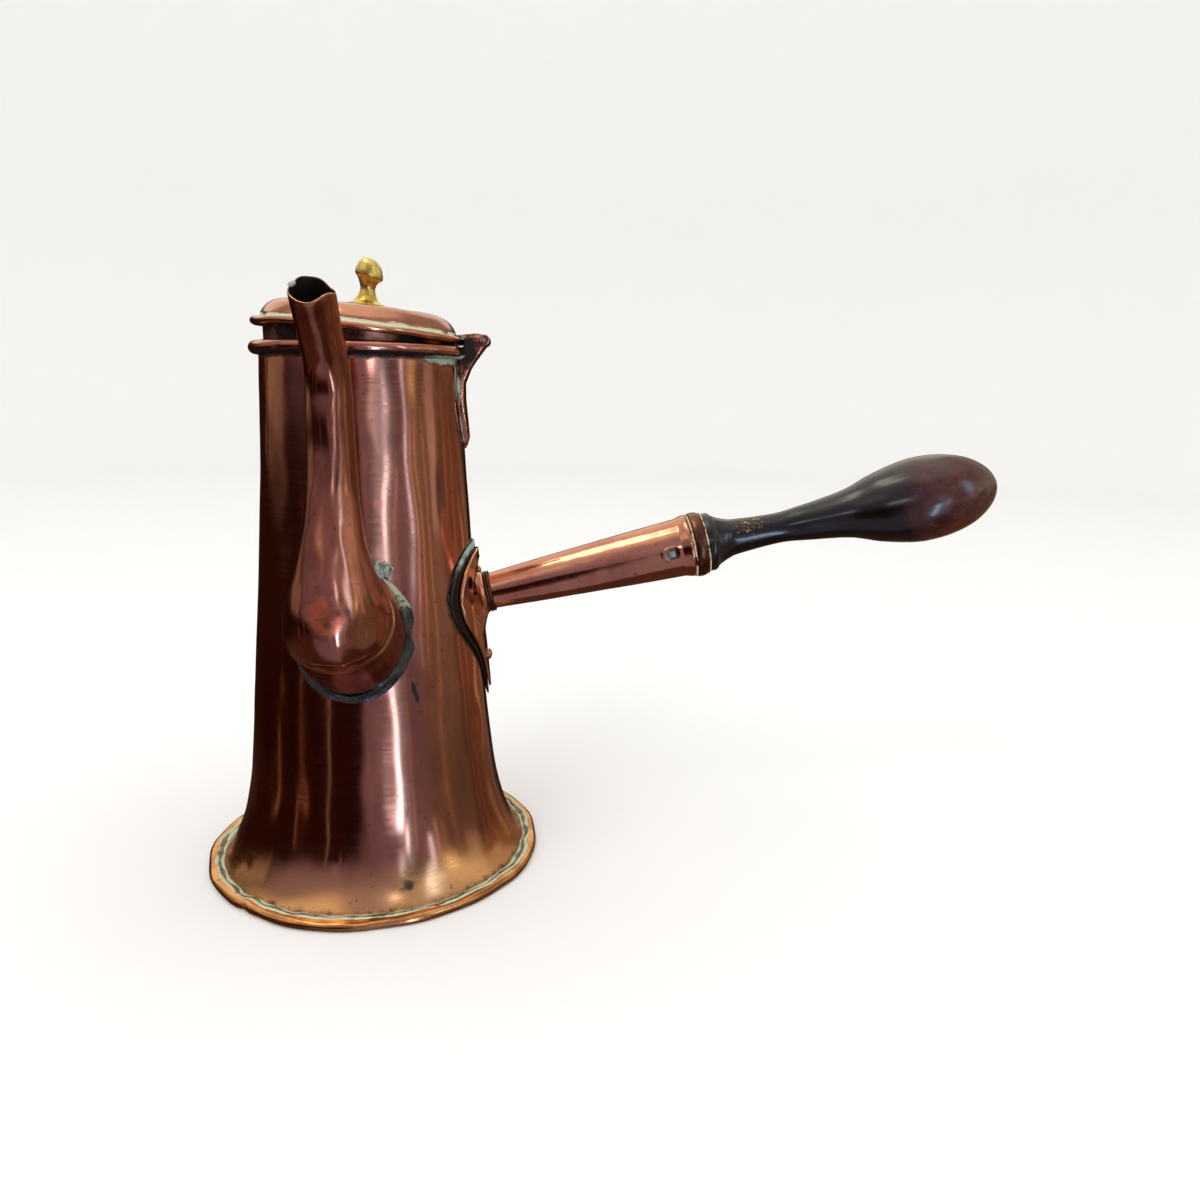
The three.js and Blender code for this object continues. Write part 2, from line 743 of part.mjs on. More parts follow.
function lidCollar() {
  const top = lidZ + LID_EDGE_R - SOLDER_GAP;
  const bottom = lidZ - LID_EDGE_R - COLLAR_DEPTH;
  return toSolid(
    ring([
      [collarR, top],
      [collarR - COLLAR_SHEET, top],
      [collarR - COLLAR_SHEET - COLLAR_TAPER, bottom],
      [collarR - COLLAR_TAPER, bottom],
    ]),
  );
}

// The hinge: a strap on the lid, a bracket with a rat-tail on the body, and a pin
const barrel = (length, radius) =>
  toSolid(cylinderAlongY(radius, length, 16).translate(hingeX, 0, hingeZ));
const pinBore = () => barrel(100, HINGE_PIN_R + HINGE_PIN_GAP);
const slot = KNUCKLE_LENGTH + 2 * KNUCKLE_GAP;
const barrelLength = slot + 2 * SIDE_KNUCKLE;

function lidStrap() {
  const neckX = hingeX - BARREL_R - 0.8;
  const neck = [
    [hingeX, hingeZ + BARREL_R],
    [neckX - 2, hingeZ + 3],
    [neckX - 2, hingeZ + 0.6],
    [hingeX, hingeZ - 1],
  ];
  const leaf = [
    [neckX, hingeZ + 2.6],
    [domeR + 2, crownZ - 4],
    [domeR - 1.2, crownZ - 2.6],
    [domeR - 4.4, crownZ - 1.4],
    [domeR - 4.4, lidZ],
    [lidR, lidZ + 0.6],
    [lidR + 1.4, lidZ + 1.8],
    [neckX, hingeZ + 0.6],
  ];
  const strap = toSolid(sideways(neck, KNUCKLE_LENGTH))
    .add(toSolid(sideways(leaf, STRAP_WIDTH)))
    .add(barrel(KNUCKLE_LENGTH, BARREL_R));
  return cut(strap, lidEnvelope(), pinBore());
}

function hingeBracket() {
  const tipZ = hingeZ - TAIL_LENGTH;
  const rise = 18; // where the strap leaves the wall, below the pin
  const levels = [0, 4, 12, 20, TAIL_LENGTH - rise];
  const thick = [1.2, 2.6, 2.4, 2, 2.3];
  const inner = levels.map((up) => [bodyRadius(tipZ + up) + SOLDER_GAP, tipZ + up]);
  const outer = inner.map(([r, z], i) => [r + thick[i], z]);
  const side = [
    ...outer,
    [hingeX - 5.5, hingeZ - 11.3],
    [hingeX - 1.4, hingeZ - 5.6],
    [hingeX + 2.1, hingeZ - 1.1],
    [hingeX, hingeZ],
    [hingeX - 2.2, hingeZ - 0.8],
    [hingeX - 3.7, hingeZ - 5.2],
    [hingeX - 6.2, hingeZ - 8.9],
    [hingeX - 8.5, hingeZ - 13],
    ...inner.reverse(),
  ];
  const half = barrelLength / 2;
  const halfFront = spline(
    [
      [half, hingeZ],
      [half - 1.6, hingeZ - 6.5],
      [half - 0.8, hingeZ - 15],
      [TAIL_HALF_WIDTH, hingeZ - 27],
      [0.74 * TAIL_HALF_WIDTH, hingeZ - 36],
      [0.3 * TAIL_HALF_WIDTH, tipZ + 1.4],
    ],
    12,
  );
  const front = [
    [half, hingeZ + BARREL_R],
    ...halfFront,
    [0, tipZ],
    ...halfFront.map(([y, z]) => [-y, z]).reverse(),
    [-half, hingeZ + BARREL_R],
  ];
  const strap = toSolid(ring(side)).intersect(toSolid(frontal(front, 2 * hingeX)));
  return cut(
    strap.add(barrel(barrelLength, BARREL_R)),
    barrel(slot, BARREL_R + KNUCKLE_GAP + 0.2),
    pinBore(),
  );
}

const hingePin = () => barrel(barrelLength + 0.8, HINGE_PIN_R);

// The finial, with its stud through the crown and a washer under it
const studEnd = LID_SHEET + WASHER_THICK + 2.2;
const washerTop = crownZ - LID_SHEET - SOLDER_GAP;

function finial() {
  const seat = crownZ + SOLDER_GAP;
  const rise = (share, radius) => [radius, seat + share * FINIAL_HEIGHT];
  const outline = [
    [0, crownZ - studEnd],
    [STUD_R + 0.7, crownZ - studEnd],
    [STUD_R + 0.7, washerTop - WASHER_THICK - STUD_GAP],
    [STUD_R, washerTop - WASHER_THICK - STUD_GAP],
    [STUD_R, seat],
    [FINIAL_FOOT_R, seat],
    rise(0.04, FINIAL_FOOT_R - 0.1),
    rise(0.1, 0.68 * FINIAL_FOOT_R),
    rise(0.2, FINIAL_NECK_R + 0.9),
    rise(0.33, FINIAL_NECK_R),
    rise(0.43, FINIAL_NECK_R + 0.2),
    rise(0.54, 0.75 * FINIAL_BULB_R),
    rise(0.61, FINIAL_BULB_R - 0.2),
    rise(0.66, FINIAL_BULB_R),
    rise(0.75, 0.95 * FINIAL_BULB_R),
    rise(0.88, 0.77 * FINIAL_BULB_R),
    rise(0.97, 0.44 * FINIAL_BULB_R),
    rise(1, 0),
  ];
  return toSolid(turned(outline, 20).translate(FINIAL_OFFSET, 0, 0));
}

const finialWasher = () =>
  toSolid(
    ring(
      [
        [STUD_R + STUD_GAP, washerTop - WASHER_THICK],
        [WASHER_R, washerTop - WASHER_THICK],
        [WASHER_R, washerTop],
        [STUD_R + STUD_GAP, washerTop],
      ],
      16,
    ).translate(FINIAL_OFFSET, 0, 0),
  );

// Assembly
const pot = new THREE.Group();
pot.add(
  piece("body_shell", COPPER, bodyShell()),
  piece("rim_wire", IRON, rimWire()),
  piece("base_plate", COPPER, basePlate()),
  piece("foot_seam_solder", SOLDER, footSolder()),
  piece("spout_root", COPPER, spoutRoot()),
  piece("spout_tube", COPPER, spoutTube()),
  piece("spout_solder", SOLDER, spoutSolder()),
  piece("handle_back_plate", DARK_COPPER, handleBackPlate()),
  piece("handle_plate", COPPER, handlePlate()),
  piece("plate_rivet_tail", COPPER, rivet(tailRivetZ)),
  piece("hinge_bracket", COPPER, hingeBracket()),
  piece("hinge_pin", IRON, hingePin()),
);
pot.children.find((o) => o.name === "plate_rivet_tail").position.z = tailRivetZ;

const sideRivet = piece("plate_rivet_side", COPPER, rivet(sideRivetZ));
sideRivet.position.z = sideRivetZ;
sideRivet.rotation.z = sideAzimuth;
pot.add(sideRivet);

const handle = new THREE.Group();
handle.position.set(bodyRadius(HANDLE_Z), 0, HANDLE_Z);
handle.rotation.y = -handlePitch;
handle.add(
  piece("socket_root_ring", DARK_COPPER, socketRing()),
  piece("handle_socket", COPPER, handleSocket()),
  piece("grip_cross_pin", IRON, gripPin()),
);

// The grip and its ferrule hang down a little about the cross pin.
const sagged = new THREE.Group();
sagged.position.x = pinAt;
sagged.rotation.y = gripDroop;
[
  piece("handle_ferrule", DARK_COPPER, ferrule()),
  piece("wooden_grip", WOOD, grip()),
].forEach((mesh) => {
  mesh.position.x = -pinAt;
  sagged.add(mesh);
});
handle.add(sagged);
pot.add(handle);

const lid = new THREE.Group();
lid.position.set(hingeX, 0, hingeZ);
lid.rotation.y = LID_AJAR * DEGREE;
[
  piece("lid_shell", COPPER, lidShell()),
  piece("lid_collar", DARK_COPPER, lidCollar()),
  piece("lid_strap", COPPER, lidStrap()),
  piece("finial", BRASS, finial()),
  piece("finial_washer", BRASS, finialWasher()),
].forEach((mesh) => {
  mesh.position.set(-hingeX, 0, -hingeZ);
  lid.add(mesh);
});
pot.add(lid);

export default pot;
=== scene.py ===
# %% [markdown]
# # A side-handled copper coffee pot
#
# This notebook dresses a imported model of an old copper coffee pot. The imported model, called the
# frame, says where every piece is and how the lid turns. Here each piece gets the form and the
# finish of the real thing: sheet that was raised, seamed and knocked about for two centuries.
#
# Sizes are written in millimetres, as a coppersmith would give them, and turned into Blender's
# metres at one place only, where a mesh is made.

# %% Load the frame and keep its size
import json
import math

import bmesh
import bpy
import numpy as np
from mathutils import Matrix, Vector

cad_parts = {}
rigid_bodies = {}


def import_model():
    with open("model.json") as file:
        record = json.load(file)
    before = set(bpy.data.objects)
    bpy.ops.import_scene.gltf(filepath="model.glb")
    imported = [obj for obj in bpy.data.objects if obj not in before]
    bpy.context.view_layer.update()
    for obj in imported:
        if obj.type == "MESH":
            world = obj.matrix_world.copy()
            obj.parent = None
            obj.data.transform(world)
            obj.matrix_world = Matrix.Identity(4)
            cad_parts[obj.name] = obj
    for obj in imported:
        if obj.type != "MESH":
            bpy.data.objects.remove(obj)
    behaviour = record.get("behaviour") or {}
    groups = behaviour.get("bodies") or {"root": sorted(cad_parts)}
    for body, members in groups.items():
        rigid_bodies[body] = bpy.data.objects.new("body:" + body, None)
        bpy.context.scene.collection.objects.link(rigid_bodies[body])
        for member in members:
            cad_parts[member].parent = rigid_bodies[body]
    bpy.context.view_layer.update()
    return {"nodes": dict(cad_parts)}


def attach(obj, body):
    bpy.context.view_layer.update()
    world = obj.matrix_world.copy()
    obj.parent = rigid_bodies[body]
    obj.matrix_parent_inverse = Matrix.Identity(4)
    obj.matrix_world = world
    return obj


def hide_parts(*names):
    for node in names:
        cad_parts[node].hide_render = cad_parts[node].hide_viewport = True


MM = 0.001
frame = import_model()
NODES = frame["nodes"]

# %% [markdown]
# ## Camera
#
# The camera stands where the photographer stood: level with the lid, a little to the right of
# the spout, looking down by 13 degrees. A wide lens this close is what makes the foot look
# broad and the grip swell towards us. The picture was held a degree off level, so there is a roll.

# %% Camera
CAMERA_PLACE = (71.4, -405.1, 214.2)
CAMERA_HEADING = 4.76  # degrees to the right of straight ahead
CAMERA_PITCH = -12.96
CAMERA_ROLL = 1.24
LENS = 26.86
SENSOR = 36


def turn(degrees, axis):
    return Matrix.Rotation(math.radians(degrees), 4, axis)


camera = bpy.data.objects.new("camera", bpy.data.cameras.new("camera"))
bpy.context.scene.collection.objects.link(camera)
camera.data.lens = LENS
camera.data.sensor_width = SENSOR
camera.data.clip_start = 0.01
camera.matrix_world = (
    Matrix.Translation(Vector(CAMERA_PLACE) * MM)
    @ turn(-CAMERA_HEADING, "Z")
    @ turn(90 + CAMERA_PITCH, "X")
    @ turn(CAMERA_ROLL, "Z")
)
bpy.context.scene.camera = camera
print("camera at", [round(v, 3) for v in camera.location])

# %% [markdown]
# ## Helpers for shapes
#
# Nearly everything on this pot is a grid of points: rows along a profile, columns round it.
# `skin` joins such a grid with four-sided faces. Profiles are given by a few points with a
# smooth curve through them, so nothing here is traced.


# %% Curves
def smooth_line(points, steps):
    """A Catmull-Rom curve through the points, with the same number of steps in each span."""
    p = np.asarray(points, float)
    p = np.concatenate([2 * p[:1] - p[1:2], p, 2 * p[-1:] - p[-2:-1]])
    t = np.linspace(0, 1, steps, endpoint=False).reshape(-1, *[1] * (p.ndim - 1))
    spans = [
        0.5
        * (
            2 * b
            + (c - a) * t
            + (2 * a - 5 * b + 4 * c - d) * t**2
            + (3 * b - a - 3 * c + d) * t**3
        )
        for a, b, c, d in zip(p, p[1:], p[2:], p[3:])
    ]
    return np.concatenate([*spans, p[-2:-1]])


def bezier(start, pull, end, steps):
    t = np.linspace(0, 1, steps + 1)[:, None]
    start, pull, end = (np.asarray(v, float) for v in (start, pull, end))
    return (1 - t) ** 2 * start + 2 * t * (1 - t) * pull + t**2 * end


def arc(centre, radius, first, last, steps):
    a = np.radians(np.linspace(first, last, steps + 1))
    return np.stack([centre[0] + radius * np.cos(a), centre[1] + radius * np.sin(a)], 1)


def resample(line, step):
    """The same line with points at an even distance."""
    line = np.asarray(line, float)
    run = np.append(0, np.cumsum(np.linalg.norm(np.diff(line, axis=0), axis=1)))
    at = np.linspace(0, run[-1], max(2, round(run[-1] / step) + 1))
    return np.stack([np.interp(at, run, column) for column in line.T], 1)


def inward(line, distance):
    """The line moved to its left."""
    along = np.gradient(np.asarray(line, float), axis=0)
    along /= np.linalg.norm(along, axis=1)[:, None]
    return line + distance * np.stack([-along[:, 1], along[:, 0]], 1)


def smooth_step(value, low, high):
    t = np.clip((value - low) / (high - low), 0, 1)
    return t * t * (3 - 2 * t)


def bump(distance, width):
    """A bell: 1 at no distance, and nearly 0 at twice the width."""
    return np.exp(-((distance / width) ** 2))


print("curve helpers are ready")


# %% Grids of points
def round_angles(columns):
    return np.linspace(0, 2 * math.pi, columns, endpoint=False)


def turned(profile, columns):
    """A profile of (radius, height) turned about Z, from azimuth 0."""
    a = round_angles(columns)
    r, z = np.asarray(profile, float).T
    return np.stack(
        [np.outer(r, np.cos(a)), np.outer(r, np.sin(a)), np.outer(z, np.ones(columns))], 2
    )


def turned_along(profile, columns):
    """A profile of (distance along, radius) turned about X."""
    return np.roll(turned(np.asarray(profile, float)[:, ::-1], columns), 1, axis=2)


def grid_normals(grid):
    """Unit normals of a tube-like grid, pointing away from its middle line."""
    along = np.gradient(grid, axis=0)
    across = np.roll(grid, -1, axis=1) - np.roll(grid, 1, axis=1)
    normal = np.cross(across, along)
    normal /= np.linalg.norm(normal, axis=2, keepdims=True) + 1e-9
    out = grid - grid.mean(axis=1, keepdims=True)
    return normal * np.sign((normal * out).sum(axis=2).mean())


def sheet_grid(outer, thick, normals=None):
    """Outer face, rounded lip, inner face: one closed grid for a sheet-metal tube.

    The thickness is one number, or one for each row."""
    normals = grid_normals(outer) if normals is None else normals
    thick = np.broadcast_to(thick, len(outer))
    inner = outer - thick[:, None, None] * normals
    lips = []
    for end, before in ((-1, -2), (0, 1)):
        ahead = outer[end] - outer[before]
        ahead /= np.linalg.norm(ahead, axis=1, keepdims=True)
        rounds = [
            outer[end]
            + 0.5 * thick[end] * (math.sin(a) * ahead + (math.cos(a) - 1) * normals[end])
            for a in np.radians((45, 90, 135))
        ]
        lips.append(np.stack(rounds if end else rounds[::-1]))
    return np.concatenate([outer, lips[0], inner[::-1], lips[1]])


def ripple(points, lengths, seed):
    """A soft pseudo-random field of about -1 to 1, whose waves are as long as given."""
    random = np.random.default_rng(seed)
    waves = 7
    total = 0
    for _ in range(waves):
        direction = random.normal(size=3)
        direction /= np.linalg.norm(direction)
        wave = 2 * math.pi * direction * random.uniform(0.7, 1.4) / np.asarray(lengths, float)
        total = total + np.sin(points @ wave + random.uniform(0, 2 * math.pi))
    return total / math.sqrt(waves)


def knock(grid, normals, dents):
    """Presses dents into a grid. Each is (x, y, z, radius, depth)."""
    for *place, radius, depth in dents:
        dent = depth * bump(distance_to(grid, place), radius)
        grid = grid - normals * dent[..., None]
    return grid


def distance_to(points, place):
    return np.linalg.norm(points - np.array(place), axis=-1)


def placed(grid, matrix):
    m = np.array(matrix)
    return grid @ m[:3, :3].T + m[:3, 3]


print("grid helpers are ready")


# %% Meshes from grids
SHARP = 50  # degrees between two faces, from which their edge is drawn sharp


def grid_faces(rows, columns, close_rows):
    """Four corners for each face; the columns always close on themselves."""
    r = np.arange(rows if close_rows else rows - 1)
    c = np.arange(columns)
    along = (r[:, None] * columns, ((r + 1) % rows)[:, None] * columns)
    round_it = (c, (c + 1) % columns)
    corners = ((0, 0), (0, 1), (1, 1), (1, 0))
    return np.stack([(along[i] + round_it[j]).ravel() for i, j in corners], 1)


def tidy_mesh(mesh, sharp):
    """Doubles merged, faces outwards, smooth except at the sharp edges."""
    work = bmesh.new()
    work.from_mesh(mesh)
    bmesh.ops.remove_doubles(work, verts=work.verts, dist=1e-6)
    bmesh.ops.dissolve_degenerate(work, edges=work.edges, dist=1e-7)
    if work.calc_volume(signed=True) < 0:
        bmesh.ops.reverse_faces(work, faces=work.faces)
    work.to_mesh(mesh)
    work.free()
    mesh.shade_smooth()
    mesh.set_sharp_from_angle(angle=math.radians(sharp))


def add_mask(mesh, mask, values):
    layer = mesh.attributes.new(mask, "FLOAT", "POINT")
    layer.data.foreach_set("value", np.clip(values, 0, 1).astype(np.float32).ravel())


def show(name, mesh):
    made = bpy.data.objects.new(name, mesh)
    bpy.context.scene.collection.objects.link(made)
    return made


def skin(name, grid, close_rows=True, sharp=SHARP, **masks):
    """A mesh object from a grid of points in mm, with a named mask for each point."""
    rows, columns, _ = grid.shape
    mesh = bpy.data.meshes.new(name)
    faces = grid_faces(rows, columns, close_rows)
    mesh.from_pydata((grid.reshape(-1, 3) * MM).tolist(), [], faces.tolist())
    for mask, values in masks.items():
        add_mask(mesh, mask, np.broadcast_to(values, grid.shape[:2]))
    tidy_mesh(mesh, sharp)
    return show(name, mesh)


def mesh_points(mesh):
    """A mesh's points in mm."""
    points = np.empty(3 * len(mesh.vertices))
    mesh.vertices.foreach_get("co", points)
    return points.reshape(-1, 3) / MM


def baked(piece, name):
    """The evaluated mesh of a piece as a plain new object; the source is removed."""
    graph = bpy.context.evaluated_depsgraph_get()
    mesh = bpy.data.meshes.new_from_object(piece.evaluated_get(graph))
    mesh.name = name
    bpy.data.objects.remove(piece)
    return show(name, mesh)


def joined(piece, *others):
    """One object from several; masks of one name run on into each other."""
    chosen = [piece, *others]
    with bpy.context.temp_override(active_object=piece, selected_editable_objects=chosen):
        bpy.ops.object.join()
    return piece


def cut(piece, tool):
    """Cuts a piece with a closed tool, and removes the tool."""
    boolean = piece.modifiers.new("cut", "BOOLEAN")
    boolean.operation = "DIFFERENCE"
    boolean.solver = "EXACT"
    boolean.object = tool
    name = piece.name
    piece.name = name + "_uncut"
    made = baked(piece, name)
    bpy.data.objects.remove(tool)
    made.data.shade_smooth()
    made.data.set_sharp_from_angle(angle=math.radians(SHARP))
    return made


def dress(piece, body, material, slot, *stands_for):
    """Gives a piece its material, its body and the frame's nodes that it stands for."""
    piece.data.materials.clear()
    piece.data.materials.append(material)
    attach(piece, body)
    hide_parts(*stands_for)
    triangles = sum(len(face.vertices) - 2 for face in piece.data.polygons)
    print(f"{piece.name}: {triangles} triangles")
    return piece


print("mesh helpers are ready")

# %% [markdown]
# ## Helpers for materials
#
# Colours are written as sRGB hex values, as a colour picker gives them, and one function turns
# them into the linear values that the renderer works in. One small function adds a node with its
# settings and its links, and the short functions after it are built on that one, so that a
# material reads from top to bottom like a recipe.


# %% Colours and nodes
def hex_colour(code):
    channels = [int(code[i : i + 2], 16) / 255 for i in (1, 3, 5)]
    linear = [c / 12.92 if c <= 0.04045 else ((c + 0.055) / 1.055) ** 2.4 for c in channels]
    return (*linear, 1.0)


def add_node(tree, kind, settings=None, **links):
    """Adds a node. Links map an input, as i and its number or as its name with _ for a space.

    What goes in is another node's output, a plain value or a colour's hex code."""
    node = tree.nodes.new(kind)
    for key, value in (settings or {}).items():
        setattr(node, key, value)
    for key, value in links.items():
        numbered = key[0] == "i" and key[1:].isdigit()
        socket = node.inputs[int(key[1:]) if numbered else key.replace("_", " ")]
        if isinstance(value, bpy.types.NodeSocket):
            tree.links.new(value, socket)
        else:
            socket.default_value = hex_colour(value) if isinstance(value, str) else value
    return node


def maths(tree, operation, *values):
    """The result of a Math node."""
    inputs = {f"i{place}": value for place, value in enumerate(values)}
    return add_node(tree, "ShaderNodeMath", {"operation": operation}, **inputs).outputs[0]


def add_up(tree, value, times, plus):
    """The value, multiplied and added to."""
    return maths(tree, "MULTIPLY_ADD", value, times, plus)


def stretch(tree, value, low, high, new_low=0.0, new_high=1.0):
    """The value's range between low and high, eased onto a new range."""
    return add_node(
        tree,
        "ShaderNodeMapRange",
        {"interpolation_type": "SMOOTHSTEP"},
        Value=value,
        From_Min=low,
        From_Max=high,
        To_Min=new_low,
        To_Max=new_high,
    ).outputs[0]


def blend_colours(tree, share, first, second):
    return add_node(
        tree, "ShaderNodeMix", {"data_type": "RGBA"}, i0=share, i6=first, i7=second
    ).outputs[2]


def mapped(tree, place, scale=(1, 1, 1), tilt=0):
    """Coordinates stretched along each axis, or tilted about Y by some degrees."""
    about_y = (0, math.radians(tilt), 0)
    return add_node(
        tree, "ShaderNodeMapping", Vector=place, Rotation=about_y, Scale=scale
    ).outputs[0]


def noise(tree, place, size, detail=4.0, roughness=0.6):
    """Noise whose features are about the given size in mm."""
    return add_node(
        tree,
        "ShaderNodeTexNoise",
        Vector=place,
        Scale=1 / (size * MM),
        Detail=detail,
        Roughness=roughness,
    ).outputs["Fac"]


def streaks(tree, place, scale, detail, roughness=0.6):
    """Noise drawn out into lines. The scale says how many features each axis has in a metre."""
    return noise(tree, mapped(tree, place, scale), 1 / MM, detail, roughness)


def mask_of(tree, name):
    return add_node(tree, "ShaderNodeAttribute", {"attribute_name": name}).outputs["Fac"]


def ragged_mask(tree, name, field, depth):
    """A mask whose edge is broken up by a field of noise."""
    return maths(tree, "ADD", mask_of(tree, name), add_up(tree, field, depth, -depth / 2))


def relief(tree, height, depth, under=None, invert=False):
    """A bump of a depth in mm, laid over another one."""
    links = {"Normal": under} if under else {}
    return add_node(
        tree,
        "ShaderNodeBump",
        {"invert": invert},
        Strength=1.0,
        Distance=depth * MM,
        Height=height,
        **links,
    ).outputs[0]


def new_tree(name):
    material = bpy.data.materials.new(name)
    material.use_nodes = True
    material.node_tree.nodes.clear()
    return material, material.node_tree


def place_on_piece(tree):
    return add_node(tree, "ShaderNodeTexCoord").outputs["Object"]


def finished(material, **sockets):
    """Gives a material its shader and its output."""
    tree = material.node_tree
    shader = add_node(tree, "ShaderNodeBsdfPrincipled", **sockets)
    add_node(tree, "ShaderNodeOutputMaterial", Surface=shader.outputs[0])
    return material


print("burnished copper #b87355 is", [round(c, 3) for c in hex_colour("#b87355")[:3]])

# %% [markdown]
# ## Old copper
#
# Copper sheet that is cleaned often and never stripped: bright metal on the rubbed swells, a
# mauve-brown skin of cuprous oxide elsewhere, and black or green where a cloth can't reach. To
# the eye that is one metal whose colour drifts in soft patches, whose gloss is broken by fine
# polishing lines, and which turns matt and dull in the corners.
#
# Where dirt lies is a matter of real distances to the seams, so it is worked out in the mesh and
# kept there as masks: one for the black-brown dirt, which also carries painted shade inside the
# spout, under the hinge's strap, in the hinge's fork and round the spout's joint, `verdigris` for
# the green salt that grows in wet corners, `bare` for metal that was scraped or burnt back to its
# raw orange, and one for painted highlights: bright golden metal painted on edges, on tops and on
# the foot of the flare, where they catch the light.

# %% Old copper
# The crust colour, for dirt and for painted shade.
CRUST_AND_SHADE = "#241814"
RAW = "#b5543c"
BROWNED = "#6f3528"
HIGHLIGHT_GOLD = "#dfa472"
LINE_DEPTH = 0.003


def old_copper(
    name,
    bright,
    tarnish,
    green="#94a496",
    roughness=0.11,
    patch=35,
    lines=(30, 30, 1500),
    tilt=0,
    freckles=0.7,
):
    material, tree = new_tree(name)
    place = place_on_piece(tree)
    level = mapped(tree, place, tilt=tilt)
    # The oxide skin drifts over tens of millimetres, drawn out up and down by years of wiping.
    wiped = mapped(tree, level, (1, 1, 0.35))
    drift = stretch(tree, noise(tree, wiped, patch, 5), 0.36, 0.66)
    # Painted highlights: a bright golden colour laid over the oxide where their mask says.
    highlighted = mask_of(tree, "rubbed")
    oxide = blend_colours(tree, drift, bright, tarnish)
    oxide = blend_colours(tree, highlighted, oxide, HIGHLIGHT_GOLD)
    # Freckles of darker oxide, a millimetre or two across.
    freckle = stretch(tree, noise(tree, place, 2.4), 0.62, 0.76, 0, freckles)
    spotted = blend_colours(tree, freckle, oxide, CRUST_AND_SHADE)
    # The edges of the masks are broken up by noise with features of 4 mm and less.
    broken = noise(tree, place, 4, 6, 0.65)
    bare, dirt_and_shade, salt = (
        stretch(tree, ragged_mask(tree, mask, broken, 0.9), low, high, 0, most)
        for mask, low, high, most in (
            ("bare", 0.1, 1.0, 0.85),
            ("grime", 0.3, 0.8, 1),
            ("verdigris", 0.45, 0.75, 1),
        )
    )
    # Raw metal has browned again in soft spots.
    spots = stretch(tree, noise(tree, place, 6, 3), 0.42, 0.62, 0, 0.9)
    metal = blend_colours(tree, bare, spotted, blend_colours(tree, spots, RAW, BROWNED))
    # Dirt and painted shade both turn the metal to the crust colour.
    darkened = blend_colours(tree, dirt_and_shade, metal, CRUST_AND_SHADE)
    covered = maths(tree, "MAXIMUM", add_up(tree, dirt_and_shade, 0.8, 0), salt)
    # Polishing lines about a millimetre apart, drawn coarser than the real ones so that they show.
    line = streaks(tree, level, lines, 3)
    rough = stretch(tree, line, 0.3, 0.7, roughness - 0.02, roughness + 0.05)
    # Oxide, raw metal, metal under painted highlights, and dirt with its painted shade are each
    # rougher than clean metal.
    for layer, rougher in ((drift, 0.04), (bare, 0.22), (highlighted, 0.09), (covered, 0.5)):
        rough = add_up(tree, layer, rougher, rough)
    # Dirt, painted shade and salt aren't metal, and raw copper is too rough to mirror the room.
    not_metal = stretch(tree, covered, 0.5, 1, 0, 0.9)
    matt = maths(tree, "MAXIMUM", not_metal, add_up(tree, bare, 0.35, 0))
    return finished(
        material,
        Base_Color=blend_colours(tree, salt, darkened, green),
        Metallic=add_up(tree, matt, -1, 1),
        Roughness=rough,
        Normal=relief(tree, salt, 0.3, relief(tree, line, LINE_DEPTH)),
    )


BODY_COPPER = old_copper("burnished_sheet_copper", "#cf8c74", "#a66c5a")
LID_COPPER = old_copper("polished_lid_copper", "#d39375", "#b0745f", green="#d2d5b6", freckles=0.4)
FOOT_COPPER = old_copper("worn_foot_copper", "#e0a266", "#b97c4c", roughness=0.2, patch=14)
SPOUT_COPPER = old_copper(
    "raised_spout_copper",
    "#c4826c",
    "#955a48",
    # This pale grey shows only on the curled scrap of lip: its tinned side with a painted glint.
    green="#a9a8a0",
    roughness=0.14,
    patch=24,
    lines=(160, 160, 160),
)
SOCKET_COPPER = old_copper(
    "wiped_socket_copper",
    "#d8997a",
    "#c07c66",
    roughness=0.1,
    patch=30,
    lines=(900, 60, 60),
    tilt=13.5,
)
DARK_COPPER = old_copper(
    "unpolished_copper", "#8a5947", "#4b2e27", roughness=0.3, patch=10, lines=(300, 300, 300)
)
LINED_COPPER = old_copper(
    "patinated_ferrule_copper", "#8d5a47", "#5b382d", green="#cbbd94", roughness=0.26, patch=9
)
TEAL_COPPER = old_copper(
    "weathered_back_plate", "#4a3a34", "#26363a", green="#8fa89c", roughness=0.3, patch=8
)
print("copper finishes:", len(bpy.data.materials))

# %% [markdown]
# ## Solder, iron, brass and wood
#
# Tin and lead solder is dull grey with a blue-green bloom, lumpy where it was run on with a torch.
# The pin and wire are iron gone grey. The finial is cast and turned brass, yellow and soft-edged
# from polish. The grip is turned hardwood under black varnish, worn back to red-brown where the
# palm lies and chipped to pale wood at the neck, where it strikes the shelf.


# %% Solder and iron
def bloomed_metal(name, light, dark, bloom, size, roughness, shine=0.75):
    material, tree = new_tree(name)
    place = place_on_piece(tree)
    cloud = noise(tree, place, size, 6, 0.65)
    fine = noise(tree, place, size / 5, 4)
    metal = blend_colours(tree, stretch(tree, cloud, 0.38, 0.62), dark, light)
    salt = stretch(tree, ragged_mask(tree, "verdigris", fine, 0.8), 0.4, 0.65)
    return finished(
        material,
        Base_Color=blend_colours(tree, salt, metal, bloom),
        Metallic=stretch(tree, salt, 0, 1, shine, 0.05),
        Roughness=stretch(tree, fine, 0.3, 0.7, roughness - 0.08, roughness + 0.12),
        Normal=relief(tree, fine, 0.02, relief(tree, cloud, 0.05)),
    )


SPOUT_SOLDER = bloomed_metal(
    "grey_run_solder", "#666d70", "#41474c", "#a9aa94", size=9, roughness=0.3, shine=0.85
)
FOOT_SOLDER = bloomed_metal(
    "green_foot_solder", "#8a8162", "#54503c", "#c6cfae", size=3, roughness=0.55, shine=0.4
)
IRON = bloomed_metal("greyed_iron", "#97a39d", "#6b7873", "#93a598", size=2, roughness=0.5)
print("solder and iron are ready")


